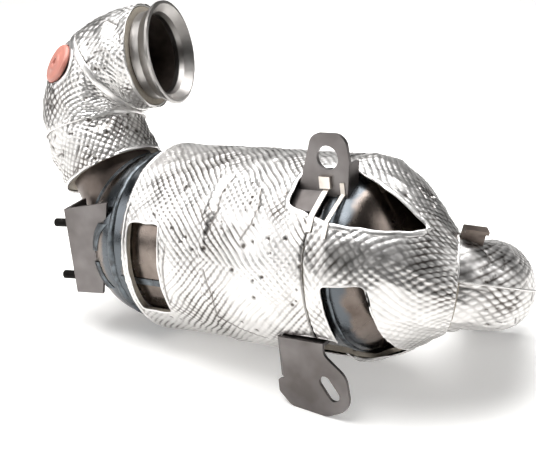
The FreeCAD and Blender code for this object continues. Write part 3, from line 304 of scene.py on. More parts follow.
# Steel plate, hot rolled and pressed: dull and brownish, with broad faint stains
bracket_steel = steel("pressed_steel_plate", "#7b7776", "#5c5755", 0.34, 0.5, 41.6667)
# Weld metal, laid in puddles that froze one over another: blue-grey, with a 2 mm ripple
weld_metal = steel("weld_bead", "#6b7277", "#454648", 0.25, 0.45, 6.25, grain_mm=2.0)
# Steel studs, dipped in hot black oxide: nearly black, with hardly any shine
stud_steel = steel("black_oxide_steel", "#2a2827", "#141312", 0.45, 0.6, 11.1111)
# Stainless strip, slit from thin bright sheet: pale, with a soft shine
strap_steel = steel("bright_stainless_strip", "#f1ece6", "#cfc5bb", 0.3, 0.45, 16.6667)
# Stainless foil, embossed between rollers and crumpled round the part: bright dots on grey, with painted
# shade in the valleys between the dots and in the creases, dents and pricks
jacket_foil = foil("embossed_foil", "#e2e0de", "#5f5a56", 0.32, 0.5, 0.22, True)
# The same foil, rolled over by hand into a hem: smooth, so it shines in long soft bands
hem_foil = foil("rolled_foil_hem", "#e4e2e0", "#b0aca8", 0.32, 0.46, 0.2, False)
# Mineral fibre, needled into a mat: pale and quite without shine; its fibres are drawn coarse
fibre = matt("mineral_fibre_mat", "#b9b1a4", "#938a7d", 0.95, 3.33333, 0.6)
# Ceramic, extruded and fired: sandy and matt
ceramic = matt("extruded_ceramic", "#c9b99d", "#a4947a", 0.85, 8.33333, 0.2)
# Salmon-red plastic, moulded: an even colour with a low sheen
cap_plastic = matt("moulded_salmon_plastic", "#c4897c", "#b06d60", 0.4, 16.6667, 0.04)

FINISHES = {
    "flange_steel": flange_steel, "pipe_steel": pipe_steel, "shell_steel": shell_steel,
    "bracket_steel": bracket_steel, "weld_metal": weld_metal, "stud_steel": stud_steel,
    "strap_steel": strap_steel, "embossed_foil": jacket_foil, "fibre_mat": fibre,
    "ceramic_brick": ceramic, "cap_plastic": cap_plastic,
}
slot_of = {part["node"]: part["material_slot"] for part in frame["record"]["subparts"]}
for node, item in frame["nodes"].items():
    item.data.materials.clear()
    item.data.materials.append(FINISHES[slot_of[node]])
# The small tab is cut from the same hot, browned stock as the pipe that it stands on
frame["nodes"]["outlet_tab"].data.materials[0] = pipe_steel

# ---------------------------------------------------------------- surfaces of the foil

# The distance between a sheet's points, and between the rolled pattern's rows
STEP, PITCH = 1.05, 5.0
# The deepest that foil is pressed in, so that it stays clear of the mat, and how deep a prick goes
PRESSED_IN, PRICK_DEPTH = -0.75, 2.2
# How many waves make up a field of ripples
SWELLS = 14
# Farther than any real distance on the converter
FAR_AWAY = 1e9


def ripples(u, v, size, seed):
    """A smooth random field about 0, with swells about `size` millimetres across."""
    source = np.random.RandomState(seed)
    total = np.zeros(np.broadcast(u, v).shape)
    for _ in range(SWELLS):
        heading, phase = source.uniform(0, 2 * math.pi, 2)
        length = size * source.uniform(0.7, 1.5)
        total += np.sin(2 * math.pi * (u * math.cos(heading) + v * math.sin(heading)) / length + phase)
    return total / math.sqrt(SWELLS)


def emboss(first, second, choose, merge):
    """Bumps on a diagonal lattice that in patches run together into ridges."""
    across_a = 0.5 + 0.5 * np.cos(2 * math.pi * first)
    across_b = 0.5 + 0.5 * np.cos(2 * math.pi * second)
    bumps = across_a * across_b
    ridges = across_a * choose + across_b * (1 - choose)
    return bumps * (1 - merge) + ridges * merge


def line_distance(u, v, line):
    """Distance from each point to a line of (u, v) corners."""
    best = np.full(np.broadcast(u, v).shape, FAR_AWAY)
    for (u0, v0), (u1, v1) in zip(line, line[1:]):
        du, dv = u1 - u0, v1 - v0
        part = np.clip(((u - u0) * du + (v - v0) * dv) / (du * du + dv * dv), 0, 1)
        best = np.minimum(best, np.hypot(u - u0 - part * du, v - v0 - part * dv))
    return best


def round_dip(u, v, u0, v0, width):
    """1 at (u0, v0), falling softly to 0 over about the width."""
    return np.exp(-(((u - u0) ** 2 + (v - v0) ** 2) / width ** 2))


class Foil:
    """How one piece of foil departs from its smooth skin, in millimetres.

    Folds and creases are (line, width, height or depth), dents (u, v, width, depth) and pricks
    (u, v, width)."""

    def __init__(self, seed, bumps=0.55, crumple=0.6, folds=(), creases=(), dents=(), pricks=(),
                 lean=lambda u, v: 0.0, ridged=0.9):
        self.seed, self.bumps, self.crumple, self.lean, self.ridged = seed, bumps, crumple, lean, ridged
        self.folds, self.creases, self.dents, self.pricks = folds, creases, dents, pricks

    def lattice(self, u, v):
        """Where each point lies in the rolled pattern: two diagonal phases, which of them runs on
        as ridges, and how far the bumps merge into those ridges."""
        drift = 0.14 * ripples(u, v, 26, self.seed + 7)
        first = (u + v) / math.sqrt(2) / PITCH + drift
        second = (u - v) / math.sqrt(2) / PITCH - drift
        leaning = ripples(u, v, 80, self.seed) * 0.6 + self.lean(u, v)
        choose = 1 / (1 + np.exp(-4 * leaning))
        merge = np.clip(self.ridged * (0.5 + 0.4 * ripples(u, v, 55, self.seed + 1)), 0, 0.9)
        return first, second, choose, merge

    def height(self, u, v):
        """How far each point stands out from the skin."""
        bumps = emboss(*self.lattice(u, v)) ** 0.7
        worn = np.clip(0.75 + 0.45 * ripples(u, v, 45, self.seed + 2), 0.12, 1)
        smooth = np.ones(bumps.shape)
        shape = self.crumple * (0.8 + 0.8 * ripples(u, v, 70, self.seed + 3)
                                - 0.9 * np.abs(ripples(u, v, 38, self.seed + 4)))
        for line, width, height in self.folds:
            flat_top = np.exp(-(line_distance(u, v, line) / width) ** 4)
            shape += height * flat_top
            smooth *= 1 - flat_top
        for line, width, depth in self.creases:
            shape -= depth * np.exp(-(line_distance(u, v, line) / width) ** 2)
        for u0, v0, width, depth in self.dents:
            shape -= depth * round_dip(u, v, u0, v0, width)
        for u0, v0, width in self.pricks:
            shape -= PRICK_DEPTH * round_dip(u, v, u0, v0, width)
        return np.maximum(shape, PRESSED_IN) + self.bumps * worn * smooth * (bumps - 0.1)

    def pit_and_crease_shade(self, u, v):
        """How much painted shade darkens the creases, dents and pricks, from 0 to 1."""
        dark = np.zeros(np.broadcast(u, v).shape)
        for line, width, _ in self.creases:
            dark = np.maximum(dark, 0.9 * np.exp(-(line_distance(u, v, line) / width) ** 2))
        for u0, v0, width, _ in self.dents:
            dark = np.maximum(dark, 0.3 * round_dip(u, v, u0, v0, width))
        for u0, v0, width in self.pricks:
            dark = np.maximum(dark, 1.6 * round_dip(u, v, u0, v0, width))
        return np.clip(dark, 0, 1)


def straight_sides(corners, deepest):
    """An opening cut from the front: the sides of a polygon in X and Z, back to Y = deepest."""
    middle = np.mean(np.array(corners, float), axis=0)
    sides = []
    for first, last in zip(corners, corners[1:] + corners[:1]):
        normal = unit((last[1] - first[1], first[0] - last[0]))
        if normal @ (middle - first) > 0:
            normal = -normal
        sides.append((np.array((normal[0], 0, normal[1])), normal @ np.array(first)))
    sides.append((np.array((0, 1.0, 0)), deepest))
    return sides


WINDOW = straight_sides([(6, -44), (40, -44), (40, 39), (6, 39)], -30)
VENT = straight_sides([(211, -72), (249, -72), (240, 6), (206, 6)], -25)
FOOT_OPENING = straight_sides([(155, -104), (210, -104), (210, -45), (155, -45)], -21.5)
TOP_CUT_OUT = straight_sides([(166, 62.5), (280, 37.2), (280, 180), (166, 180)], -24)
OPENINGS = (WINDOW, VENT, FOOT_OPENING, TOP_CUT_OUT)
BOSS_OPENING = 20.5
# Width and thickness of the hem round each opening, with the boss's round one last
HEM_SIZES = ((2.4, 1.1), (1.6, 1.0), (1.6, 1.0), (5.0, 2.2), (5.0, 2.2))
CORNER_ROUNDING = 1.6


def clearance(points):
    """How far each point is outside every opening, the way further out, and which is nearest.

    Corners come out round."""
    lifted = points - BOSS_START
    axial = lifted @ BOSS_AXIS
    across = lifted - axial[..., None] * BOSS_AXIS
    reach = np.linalg.norm(across, axis=-1)
    best = np.where(axial > 0, reach - BOSS_OPENING, FAR_AWAY)
    way = across / np.maximum(reach, 1e-6)[..., None]
    which = np.full(best.shape, len(OPENINGS))
    for number, sides in enumerate(OPENINGS):
        values = np.stack([points @ normal - limit for normal, limit in sides])
        top = values.max(axis=0)
        weights = np.exp((values - top) / CORNER_ROUNDING)
        total = weights.sum(axis=0)
        value = top + CORNER_ROUNDING * np.log(total)
        slope = sum(share[..., None] * normal for share, (normal, _) in zip(weights / total, sides))
        nearer = value < best
        best = np.where(nearer, value, best)
        way = np.where(nearer[..., None], slope, way)
        which = np.where(nearer, number, which)
    return best, way, which


def canister_skin(radius):
    """u runs along the canister, v round it from the front and up."""
    def skin(u, v):
        turn = v / radius
        normal = np.stack([np.zeros(u.shape), -np.cos(turn), np.sin(turn)], axis=-1)
        return normal * radius + np.stack([u, 0 * u, 0 * u], axis=-1), normal
    skin.around = 2 * math.pi * radius
    return skin


def bend_skin(axes, start, bend, turn, radius):
    """u runs along the pipe from where its bend starts, v round it from the inside of the bend."""
    flow, inward, side = axes.T
    full = math.radians(turn)

    def skin(u, v):
        angle = np.clip(u / bend, 0, full)
        beyond = np.where(u < 0, u, np.where(u > bend * full, u - bend * full, 0))
        heading = np.cos(angle)[..., None] * flow + np.sin(angle)[..., None] * inward
        toward = np.cos(angle)[..., None] * inward - np.sin(angle)[..., None] * flow
        centre = (start + (bend * np.sin(angle))[..., None] * flow
                  + (bend * (1 - np.cos(angle)))[..., None] * inward + beyond[..., None] * heading)
        around = v / radius
        normal = np.cos(around)[..., None] * toward + np.sin(around)[..., None] * side
        return centre + normal * radius, normal
    skin.around = 2 * math.pi * radius
    return skin


# Stations along the outlet cone: how far along it, its centre, its tilt in degrees, its radius.
# It is laid out as if it were CONE_ROUND in radius all the way, and ends on the elbow's bend.
CONE_LENGTH, CONE_TILT, CONE_ROUND = 101.0, 35.0, 70.0
CONE_MOUTH = on_bend(OUTLET_START, OUTLET_AXES, OUTLET_BEND, CONE_TILT)[0]
CONE_STATIONS = (
    (0.0, (190.3, 0, 0), 0, RIGHT_RADIUS),
    (21.7, (212, 0, 0), 0, 87.0),
    (53.2, (240, 0, -3), 4, 73.0),
    (80.8, (262, 2, -9), 14, 56.0),
    (CONE_LENGTH, CONE_MOUTH, CONE_TILT, 42.5),
)


def cone_skin():
    """u runs over the outlet cone from the jacket to the elbow, v round it."""
    along, centres, tilts, radii = (np.array(column, float) for column in zip(*CONE_STATIONS))
    flow, inward, side = OUTLET_AXES.T

    def skin(u, v):
        def soft(values):
            return sum(np.interp(u + shift, along, values) for shift in (-4, -2, 0, 2, 4)) / 5
        centre = np.stack([soft(centres[:, axis]) for axis in range(3)], axis=-1)
        tilt, radius, turn = soft(np.radians(tilts)), soft(radii), v / CONE_ROUND
        facing = np.cos(tilt)[..., None] * flow + np.sin(tilt)[..., None] * inward
        across = np.cross(facing, side)
        normal = np.cos(turn)[..., None] * side + np.sin(turn)[..., None] * across
        return centre + normal * radius[..., None], normal
    skin.around = 2 * math.pi * CONE_ROUND
    return skin


# ---------------------------------------------------------------- making the sheets and hems

# How far inside the CAD box the scene's own points are held, in metres
HELD_LOW, HELD_HIGH = 0.0002, 0.0001
# How many times a border's points slide towards it, and the fewest points that get a hem
SLIDES, SHORTEST_HEM = 4, 9


def build(name, points, faces, material, pit_and_crease_shade=None, lattice=None):
    """A mesh object from layout points, with the foil's painted shade and pattern where it has them."""
    mesh = bpy.data.meshes.new(name)
    low, high = np.array(first_bounds[0]) + HELD_LOW, np.array(first_bounds[1]) - HELD_HIGH
    mesh.from_pydata(np.clip(lay(points), low, high).tolist(), [], faces)
    mesh.polygons.foreach_set("use_smooth", [True] * len(mesh.polygons))
    if pit_and_crease_shade is not None:
        mesh.attributes.new("pit_and_crease_shade", "FLOAT", "POINT").data.foreach_set("value", pit_and_crease_shade)
    if lattice is not None:
        phases = mesh.attributes.new("lattice", "FLOAT_VECTOR", "POINT")
        phases.data.foreach_set("vector", lattice[:, :3].ravel())
        mesh.attributes.new("merge", "FLOAT", "POINT").data.foreach_set("value", lattice[:, 3])
    mesh.materials.append(material)
    mesh.update()
    made = bpy.data.objects.new(name, mesh)
    bpy.context.scene.collection.objects.link(made)
    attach(made, "root")
    return made


def foil_sheet(name, nodes, skin, look, start, end, span=None):
    """One embossed sheet over the skin, with the openings cut and a rolled hem round each.

    `span` limits v to part of the way round; otherwise the sheet closes on itself."""
    rows = max(2, int(round((end - start) / STEP)) + 1)
    low, high = span or (-skin.around / 2, skin.around / 2)
    columns = int(round((high - low) / STEP)) + (1 if span else 0)
    u = np.linspace(start, end, rows)[:, None] * np.ones((1, columns))
    v = np.linspace(low, high, columns, endpoint=bool(span))[None, :] * np.ones((rows, 1))

    def gap_at(u, v):
        return clearance(skin(u, v)[0])[0]

    # A cell with any corner outside the openings is kept, and its other corners slide to the edge
    kept = gap_at(u, v) >= 0
    ring = kept if span else np.hstack([kept, kept[:, :1]])
    cells = np.argwhere(ring[:-1, :-1] | ring[1:, :-1] | ring[:-1, 1:] | ring[1:, 1:])
    used = np.zeros(kept.shape, bool)
    for du, dv in ((0, 0), (1, 0), (0, 1), (1, 1)):
        used[cells[:, 0] + du, (cells[:, 1] + dv) % columns] = True
    moved = used & ~kept
    nudge = 0.05
    for _ in range(SLIDES):
        gap = gap_at(u, v)
        slope_u = (gap_at(u + nudge, v) - gap) / nudge
        slope_v = (gap_at(u, v + nudge) - gap) / nudge
        steep = np.maximum(slope_u ** 2 + slope_v ** 2, 0.05)  # keeps a flat place from flying off
        u = np.where(moved, np.clip(u - gap * slope_u / steep, start, end), u)
        v = np.where(moved, v - gap * slope_v / steep, v)

    points, normal = skin(u, v)
    flat = (points + normal * look.height(u, v)[..., None]).reshape(-1, 3)
    index = np.arange(rows * columns).reshape(rows, columns)
    follow = (cells[:, 1] + 1) % columns
    faces = np.stack([index[cells[:, 0], cells[:, 1]], index[cells[:, 0], follow],
                      index[cells[:, 0] + 1, follow], index[cells[:, 0] + 1, cells[:, 1]]], axis=1)
    middle = faces[len(faces) // 2]
    facing = np.cross(flat[middle[1]] - flat[middle[0]], flat[middle[3]] - flat[middle[0]])
    if facing @ normal.reshape(-1, 3)[middle[0]] < 0:
        faces = faces[:, ::-1]
    wanted = np.unique(faces)
    number = np.full(rows * columns, -1)
    number[wanted] = np.arange(len(wanted))
    lattice = np.stack([np.broadcast_to(grid, u.shape) for grid in look.lattice(u, v)], axis=-1)
    made = build(name, flat[wanted], number[faces].tolist(), jacket_foil,
                 look.pit_and_crease_shade(u, v).ravel()[wanted], lattice.reshape(-1, 4)[wanted])
    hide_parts(*nodes)
    for count, path in enumerate(hem_lines(skin, u, v, faces, moved.ravel())):
        hem("%s_hem_%d" % (name, count), *path)


def hem_lines(skin, u, v, faces, on_border):
    """Chains of border points with their skin normals and the way away from the opening."""
    pairs = np.concatenate([faces[:, [0, 1]], faces[:, [1, 2]], faces[:, [2, 3]], faces[:, [3, 0]]])
    unique, count = np.unique(np.sort(pairs, axis=1), axis=0, return_counts=True)
    single = unique[(count == 1) & on_border[unique[:, 0]] & on_border[unique[:, 1]]]
    links = {}
    for first, last in single.tolist():
        links.setdefault(first, []).append(last)
        links.setdefault(last, []).append(first)
    seen, lines = set(), []
    for begin in sorted(links, key=lambda key: len(links[key])):
        if begin in seen:
            continue
        chain, here = [begin], begin
        seen.add(begin)
        while True:
            onward = [key for key in links[here] if key not in seen]
            if not onward:
                break
            here = onward[0]
            seen.add(here)
            chain.append(here)
        if len(chain) < SHORTEST_HEM:
            continue
        closed = begin in links[here] and len(links[begin]) == 2
        points, normal = skin(u.ravel()[chain], v.ravel()[chain])
        _, way, which = clearance(points)
        lines.append((even_out(points, closed), even_out(normal, closed), even_out(way, closed),
                      closed) + HEM_SIZES[int(np.median(which))])
    return lines


def even_out(values, closed):
    """Smooths a chain of values, holding its ends where it is open."""
    for _ in range(3):
        middle = (np.roll(values, 1, axis=0) + 2 * values + np.roll(values, -1, axis=0)) / 4
        if not closed:
            middle[0], middle[-1] = values[0], values[-1]
        values = middle
    return values


def hem(name, points, normals, way, closed, width, thick):
    """A flattened roll of foil along an edge, lying on the sheet beside the opening."""
    count, around = len(points), 10
    tangent = np.roll(points, -1, axis=0) - np.roll(points, 1, axis=0)
    if not closed:
        tangent[0], tangent[-1] = points[1] - points[0], points[-1] - points[-2]
    tangent /= np.linalg.norm(tangent, axis=1)[:, None]
    side = way - (way * normals).sum(axis=1)[:, None] * normals
    side -= (side * tangent).sum(axis=1)[:, None] * tangent
    side /= np.maximum(np.linalg.norm(side, axis=1), 1e-6)[:, None]
    length = np.concatenate([[0], np.cumsum(np.linalg.norm(np.diff(points, axis=0), axis=1))])
    wobble = ripples(length, 0 * length, 17, 3)
    fade = np.ones(count)
    if not closed:
        fade = np.clip(np.minimum(np.arange(count), count - 1 - np.arange(count)) / 3, 0.15, 1)
    turns = np.arange(around) * 2 * math.pi / around
    middle = (width * 0.36 + 0.25 * wobble)[:, None, None]
    half_width = (width / 2 * fade)[:, None, None]
    half_thick = (0.5 * thick * (1 + 0.12 * wobble) * fade)[:, None, None]
    rings = (points[:, None] + side[:, None] * (middle + half_width * np.cos(turns)[None, :, None])
             + normals[:, None] * (0.25 + half_thick * np.sin(turns)[None, :, None]))
    faces = []
    for i in range(count if closed else count - 1):
        following = (i + 1) % count
        for j in range(around):
            k = (j + 1) % around
            faces.append((i * around + j, following * around + j, following * around + k, i * around + k))
    build(name, rings.reshape(-1, 3), faces, hem_foil)


def edge_hem(name, skin, u_at, low, high, width, thick, towards):
    """A hem along the end of a sheet; `towards` is +1 or -1, the way along u that it lies."""
    closed = high - low > 0.999 * skin.around
    count = int((high - low) / 2.5)
    v = np.linspace(low, high, count, endpoint=not closed)
    u = np.full(count, float(u_at))
    points, normals = skin(u, v)
    way = (skin(u + 0.1, v)[0] - points) * 10 * towards
    open_here = clearance(points)[0] < 1
    if open_here.any():
        turn = -int(np.argmax(open_here))
        points, normals, way, open_here = (np.roll(grid, turn, axis=0)
                                           for grid in (points, normals, way, open_here))
        keep = ~open_here
        points, normals, way, closed = points[keep], normals[keep], way[keep], False
    hem(name, points, normals, way, closed, width, thick)


# ---------------------------------------------------------------- the jacket and the elbows' foil

# A degree round the jacket and round each elbow's bend, in millimetres of foil
DEGREE = math.radians(1) * RIGHT_RADIUS
INLET_DEGREE = math.radians(1) * INLET_BEND
OUTLET_DEGREE = math.radians(1) * OUTLET_BEND


def scattered(seed, count, along, around, widths=(0.8, 1.7)):
    """Small pricks spread at random over part of a sheet."""
    source = np.random.RandomState(seed)
    return tuple((source.uniform(*along), source.uniform(*around), source.uniform(*widths))
                 for _ in range(count))


def nicks(seed, count, along, around):
    """Short sharp creases at random places and slants."""
    source = np.random.RandomState(seed)
    lines = []
    for _ in range(count):
        u, v, slant = source.uniform(*along), source.uniform(*around), source.uniform(0, math.pi)
        du, dv = source.uniform(2, 7) * math.cos(slant), source.uniform(2, 7) * math.sin(slant)
        lines.append(([(u - du, v - dv), (u, v + source.uniform(-1, 1)), (u + du, v + dv)],
                      source.uniform(0.6, 1.1), source.uniform(0.5, 1.1)))
    return tuple(lines)


def chevron(u, v):
    """Ridges lean one way above the jacket's bumpy row and the other way below it."""
    return np.clip((v - 12 * DEGREE) / 6, -1, 1)


left_skin = canister_skin(LEFT_RADIUS)
left_round = (-left_skin.around / 2, left_skin.around / 2)
left_look = Foil(11, crumple=0.6, lean=chevron, pricks=scattered(5, 26, (4, 86), (-60, 110)),
                 creases=(([(43, -30), (45, 0), (49, 22)], 1.0, 0.7),))
foil_sheet("jacket_left", ("canister_foil_left",), left_skin, left_look, 0.0, 89.0)
edge_hem("jacket_left_end", left_skin, 0.6, *left_round, 3.2, 2.0, 1)

right_folds = (
    ([(91, 60 * DEGREE), (90, 17 * DEGREE)], 3.0, 0.9),
)
right_creases = (
    ([(192.8, 41 * DEGREE), (188.7, 20 * DEGREE), (189.5, -5 * DEGREE), (188, -40 * DEGREE)], 0.9, 0.9),
    ([(101, 62 * DEGREE), (97, 50 * DEGREE), (99, 38 * DEGREE), (93, 24 * DEGREE)], 1.1, 1.0),
    ([(134, 54 * DEGREE), (139, 44 * DEGREE), (136, 33 * DEGREE), (128, 24 * DEGREE)], 1.2, 1.1),
    ([(91, 5 * DEGREE), (96, -10 * DEGREE), (93, -27 * DEGREE), (111, -34 * DEGREE),
      (140, -42 * DEGREE)], 1.0, 0.9),
)
right_dents = (
    (112, 50 * DEGREE, 15, 1.5), (126, 42 * DEGREE, 12, 1.4), (136, 32 * DEGREE, 8, 1.2),
    (98, 44 * DEGREE, 8, 1.0),
)
right_pricks = (
    (132, 20.7 * DEGREE, 2.2), (121.4, 6.9 * DEGREE, 1.7), (188, 13.3 * DEGREE, 2.0),
    (92, 17 * DEGREE, 1.9), (138.6, 32.6 * DEGREE, 1.4), (99, 51.5 * DEGREE, 1.5),
)
right_look = Foil(23, crumple=0.65, lean=chevron, folds=right_folds, creases=right_creases,
                  dents=right_dents, pricks=right_pricks + scattered(6, 30, (90, 188), (-80, 120)))
foil_sheet("jacket_right", ("canister_foil_right",), canister_skin(RIGHT_RADIUS), right_look,
           JACKET_SEAM, JACKET_END)

outlet_cone = cone_skin()
cone_round = (-outlet_cone.around / 2, outlet_cone.around / 2)
cone_pleat = ([(84, -150), (86, -100), (84, -60)], 1.2, 0.9)
cone_look = Foil(31, crumple=1.1, ridged=0.6, creases=(cone_pleat,) + nicks(84, 34, (50, 98), (-200, 60)),
                 pricks=scattered(7, 60, (4, 98), (-200, 60)))
foil_sheet("outlet_cone", ("outlet_foil_cone", "outlet_foil_edge_strip"), outlet_cone, cone_look,
           0.0, CONE_LENGTH)
edge_hem("outlet_cone_mouth", outlet_cone, CONE_LENGTH - 0.5, *cone_round, 1.8, 1.0, -1)

# The elbow's three sheets lap at two folds, in degrees round its bend
FIRST_FOLD, SECOND_FOLD, LAP = 33.0, 99.0, 3.0
ELBOW_TOP, ELBOW_BOTTOM = -13.0, INLET_TURN * INLET_DEGREE + 36
first_fold, second_fold = FIRST_FOLD * INLET_DEGREE, SECOND_FOLD * INLET_DEGREE
under_skin = bend_skin(INLET_AXES, INLET_START, INLET_BEND, INLET_TURN, 47.6)
over_skin = bend_skin(INLET_AXES, INLET_START, INLET_BEND, INLET_TURN, 48.7)
round_elbow = (-under_skin.around / 2, under_skin.around / 2)
upper_look = Foil(41, bumps=0.9, crumple=1.3, ridged=0.15, creases=nicks(81, 26, (-12, 32), round_elbow),
                  pricks=scattered(8, 34, (-12, 32), round_elbow))
middle_look = Foil(47, bumps=0.9, crumple=1.4, ridged=0.1, creases=nicks(82, 34, (33, 92), round_elbow),
                   pricks=scattered(9, 44, (33, 92), round_elbow))
lower_look = Foil(53, bumps=0.9, crumple=1.4, ridged=0.1, creases=nicks(83, 34, (92, 136), round_elbow),
                  pricks=scattered(10, 44, (90, 136), round_elbow, (0.9, 2.4)))
foil_sheet("elbow_upper", ("elbow_foil_upper",), under_skin, upper_look,
           ELBOW_TOP, (FIRST_FOLD + LAP) * INLET_DEGREE)
foil_sheet("elbow_middle", ("elbow_foil_middle",), over_skin, middle_look, first_fold, second_fold)
foil_sheet("elbow_lower", ("elbow_foil_lower",), under_skin, lower_look,
           (SECOND_FOLD - LAP) * INLET_DEGREE, ELBOW_BOTTOM)
edge_hem("elbow_top_edge", under_skin, ELBOW_TOP + 0.2, *round_elbow, 3.0, 1.6, 1)
edge_hem("elbow_first_fold", over_skin, first_fold, *round_elbow, 7.0, 1.8, 1)
edge_hem("elbow_second_fold", over_skin, second_fold, *round_elbow, 6.0, 1.8, -1)
edge_hem("elbow_bottom_edge", under_skin, ELBOW_BOTTOM - 0.5, *round_elbow, 2.6, 1.4, -1)

# The outlet elbow's two half sheets, with a raised collar just outside the cone's mouth
OUTLET_FOIL_RADIUS = 37.75
outlet_skin = bend_skin(OUTLET_AXES, OUTLET_START, OUTLET_BEND, OUTLET_TURN, OUTLET_FOIL_RADIUS)
outlet_half = outlet_skin.around / 2
outlet_from = 30 * OUTLET_DEGREE
outlet_to = OUTLET_TURN * OUTLET_DEGREE + OUTLET_STRAIGHT - 30
collar = ([(23, -150), (23, 150)], 9.0, 3.2)
for half, span, seed in (("upper", (0, outlet_half), 61), ("lower", (-outlet_half, 0), 67)):
    look = Foil(seed, bumps=0.4, crumple=1.0, ridged=0.5, folds=(collar,),
                creases=nicks(seed + 20, 22, (30, 110), span),
                pricks=scattered(seed, 30, (26, 110), span))
    foil_sheet("outlet_" + half, ("outlet_foil_" + half,), outlet_skin, look, outlet_from, outlet_to, span)
SEAM_POINTS = 90
seam_u = np.linspace(outlet_from, outlet_to, SEAM_POINTS)
seam_normals = np.tile(OUTLET_AXES[:, 2], (SEAM_POINTS, 1))
for name, v_at, width in (("outlet_seam", outlet_half, 5.0), ("outlet_inner_seam", 0.0, 2.0)):
    seam, seam_way = outlet_skin(seam_u, np.full(SEAM_POINTS, v_at))
    hem(name, seam, seam_normals, seam_way, False, width, 1.8)
edge_hem("outlet_end", outlet_skin, outlet_to, -outlet_half, outlet_half, 2.6, 1.4, -1)

# ---------------------------------------------------------------- bracket, cap and ring welds

def rounded(corners):
    """An outline with an arc at each corner; a corner is its two coordinates and its radius."""
    outline = []
    for number, (x, z, radius) in enumerate(corners):
        here = np.array((x, z))
        back = unit(np.array(corners[number - 1][:2]) - here)
        ahead = unit(np.array(corners[(number + 1) % len(corners)][:2]) - here)
        if radius == 0:
            outline.append(here)
            continue
        half = math.acos(np.clip(back @ ahead, -1, 1)) / 2
        centre = here + unit(back + ahead) * radius / math.sin(half)
        reach = radius / math.tan(half)
        first, last = here + back * reach - centre, here + ahead * reach - centre
        steps = max(3, int(math.degrees(math.pi - 2 * half) / 9))
        for step in range(steps + 1):
            part = step / steps
            outline.append(centre + radius * unit(first * (1 - part) + last * part))
    return outline


def slab(mesh, outline, holes, place, low, high):
    """Adds a flat plate to a bmesh: an outline with holes, between two depths."""
    edges = []
    for loop in [outline] + holes:
        rim = [mesh.verts.new(lay(place(x, z, low))) for x, z in loop]
        edges += [mesh.edges.new((rim[i - 1], rim[i])) for i in range(len(rim))]
    filled = bmesh.ops.triangle_fill(mesh, edges=edges, use_beauty=True)["geom"]
    bottom = [item for item in filled if isinstance(item, bmesh.types.BMFace)]
    grown = bmesh.ops.extrude_face_region(mesh, geom=bottom)["geom"]
    bmesh.ops.translate(mesh, verts=[item for item in grown if isinstance(item, bmesh.types.BMVert)],
                        vec=Vector(lay(place(0, 0, high)) - lay(place(0, 0, low))))


# The lower bracket's plate stands from FOOT_FRONT back to FOOT_BACK; corners are (x, z, radius)
FOOT_FRONT, FOOT_BACK = -80, -77
FOOT_OUTLINE = ((157, -47, 0), (157, -84, 1.5), (151, -86, 1.5), (151, -97, 3), (162, -108.6, 9),
                (196, -112.9, 15), (220, -103, 16), (218, -74, 16), (198, -57, 9), (199, -47, 0))
SLOT_X, SLOT_Z, SLOT_TILT = 201, -87, 33.7
SLOT_RADIUS, SLOT_HALF_STRAIGHT, SLOT_POINTS = 5.5, 6.5, 32


def slotted_foot():
    """The lower bracket: a pressed plate with a round lobe and a slanted slot, folded at its top."""
    tilt = math.radians(SLOT_TILT)
    slot = []
    for step in range(SLOT_POINTS):
        angle = 2 * math.pi * (step + 0.5) / SLOT_POINTS
        x = SLOT_RADIUS * math.cos(angle)
        z = SLOT_RADIUS * math.sin(angle) + math.copysign(SLOT_HALF_STRAIGHT, math.sin(angle))
        slot.append((SLOT_X + x * math.cos(tilt) - z * math.sin(tilt),
                     SLOT_Z + x * math.sin(tilt) + z * math.cos(tilt)))
    fold = [(157, -77.5), (199, -77.5), (199, -50), (157, -50)]
    side_flange = [(158, -80), (158, -77), (153.5, -73), (151.5, -75)]
    mesh = bmesh.new()
    slab(mesh, rounded(FOOT_OUTLINE), [slot], lambda x, z, depth: (x, depth, z), FOOT_FRONT, FOOT_BACK)
    slab(mesh, fold, [], lambda x, y, depth: (x, y, depth), -50, -47)
    slab(mesh, side_flange, [], lambda x, y, depth: (x, y, depth), -84, -48)
    bmesh.ops.recalc_face_normals(mesh, faces=mesh.faces)
    shape = bpy.data.meshes.new("slotted_foot")
    mesh.to_mesh(shape)
    shape.materials.append(bracket_steel)
    foot = bpy.data.objects.new("slotted_foot", shape)
    bpy.context.scene.collection.objects.link(foot)
    edge = foot.modifiers.new("worn_edges", "BEVEL")
    edge.width, edge.segments, edge.limit_method = 0.0005, 2, "ANGLE"
    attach(foot, "root")
    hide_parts("slotted_bracket")


slotted_foot()


def ring_faces(rings, around):
    """Four-sided faces between rings of points, each ring closed on itself."""
    return [(ring * around + i, ring * around + (i + 1) % around,
             (ring + 1) * around + (i + 1) % around, (ring + 1) * around + i)
            for ring in range(rings - 1) for i in range(around)]


def lathed(name, profile, centre, axis, along, material):
    """A turned shape: radii and heights about an axis."""
    around = 72
    across = np.cross(axis, along)
    turns = np.linspace(0, 2 * math.pi, around, endpoint=False)[:, None]
    rings = [centre + axis * height + radius * (np.cos(turns) * along + np.sin(turns) * across)
             for radius, height in profile]
    return build(name, np.concatenate(rings), ring_faces(len(profile), around), material)


# Moulded cap: a soft-edged disc with a round recess in a low boss, as radii and heights
CAP_PROFILE = ((0.3, 46.8), (3.0, 46.8), (3.3, 47.2), (3.5, 52.3), (4.0, 53.0), (7.4, 53.0),
               (8.2, 52.4), (8.8, 51.6), (15.8, 51.4), (17.6, 50.9), (18.8, 49.8), (19.3, 48.3),
               (19.3, 46.4), (18.6, 46.2))
cap = lathed("red_cap", CAP_PROFILE, BOSS_START, BOSS_AXIS, BOSS_ALONG, cap_plastic)
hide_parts("sensor_boss_cap")


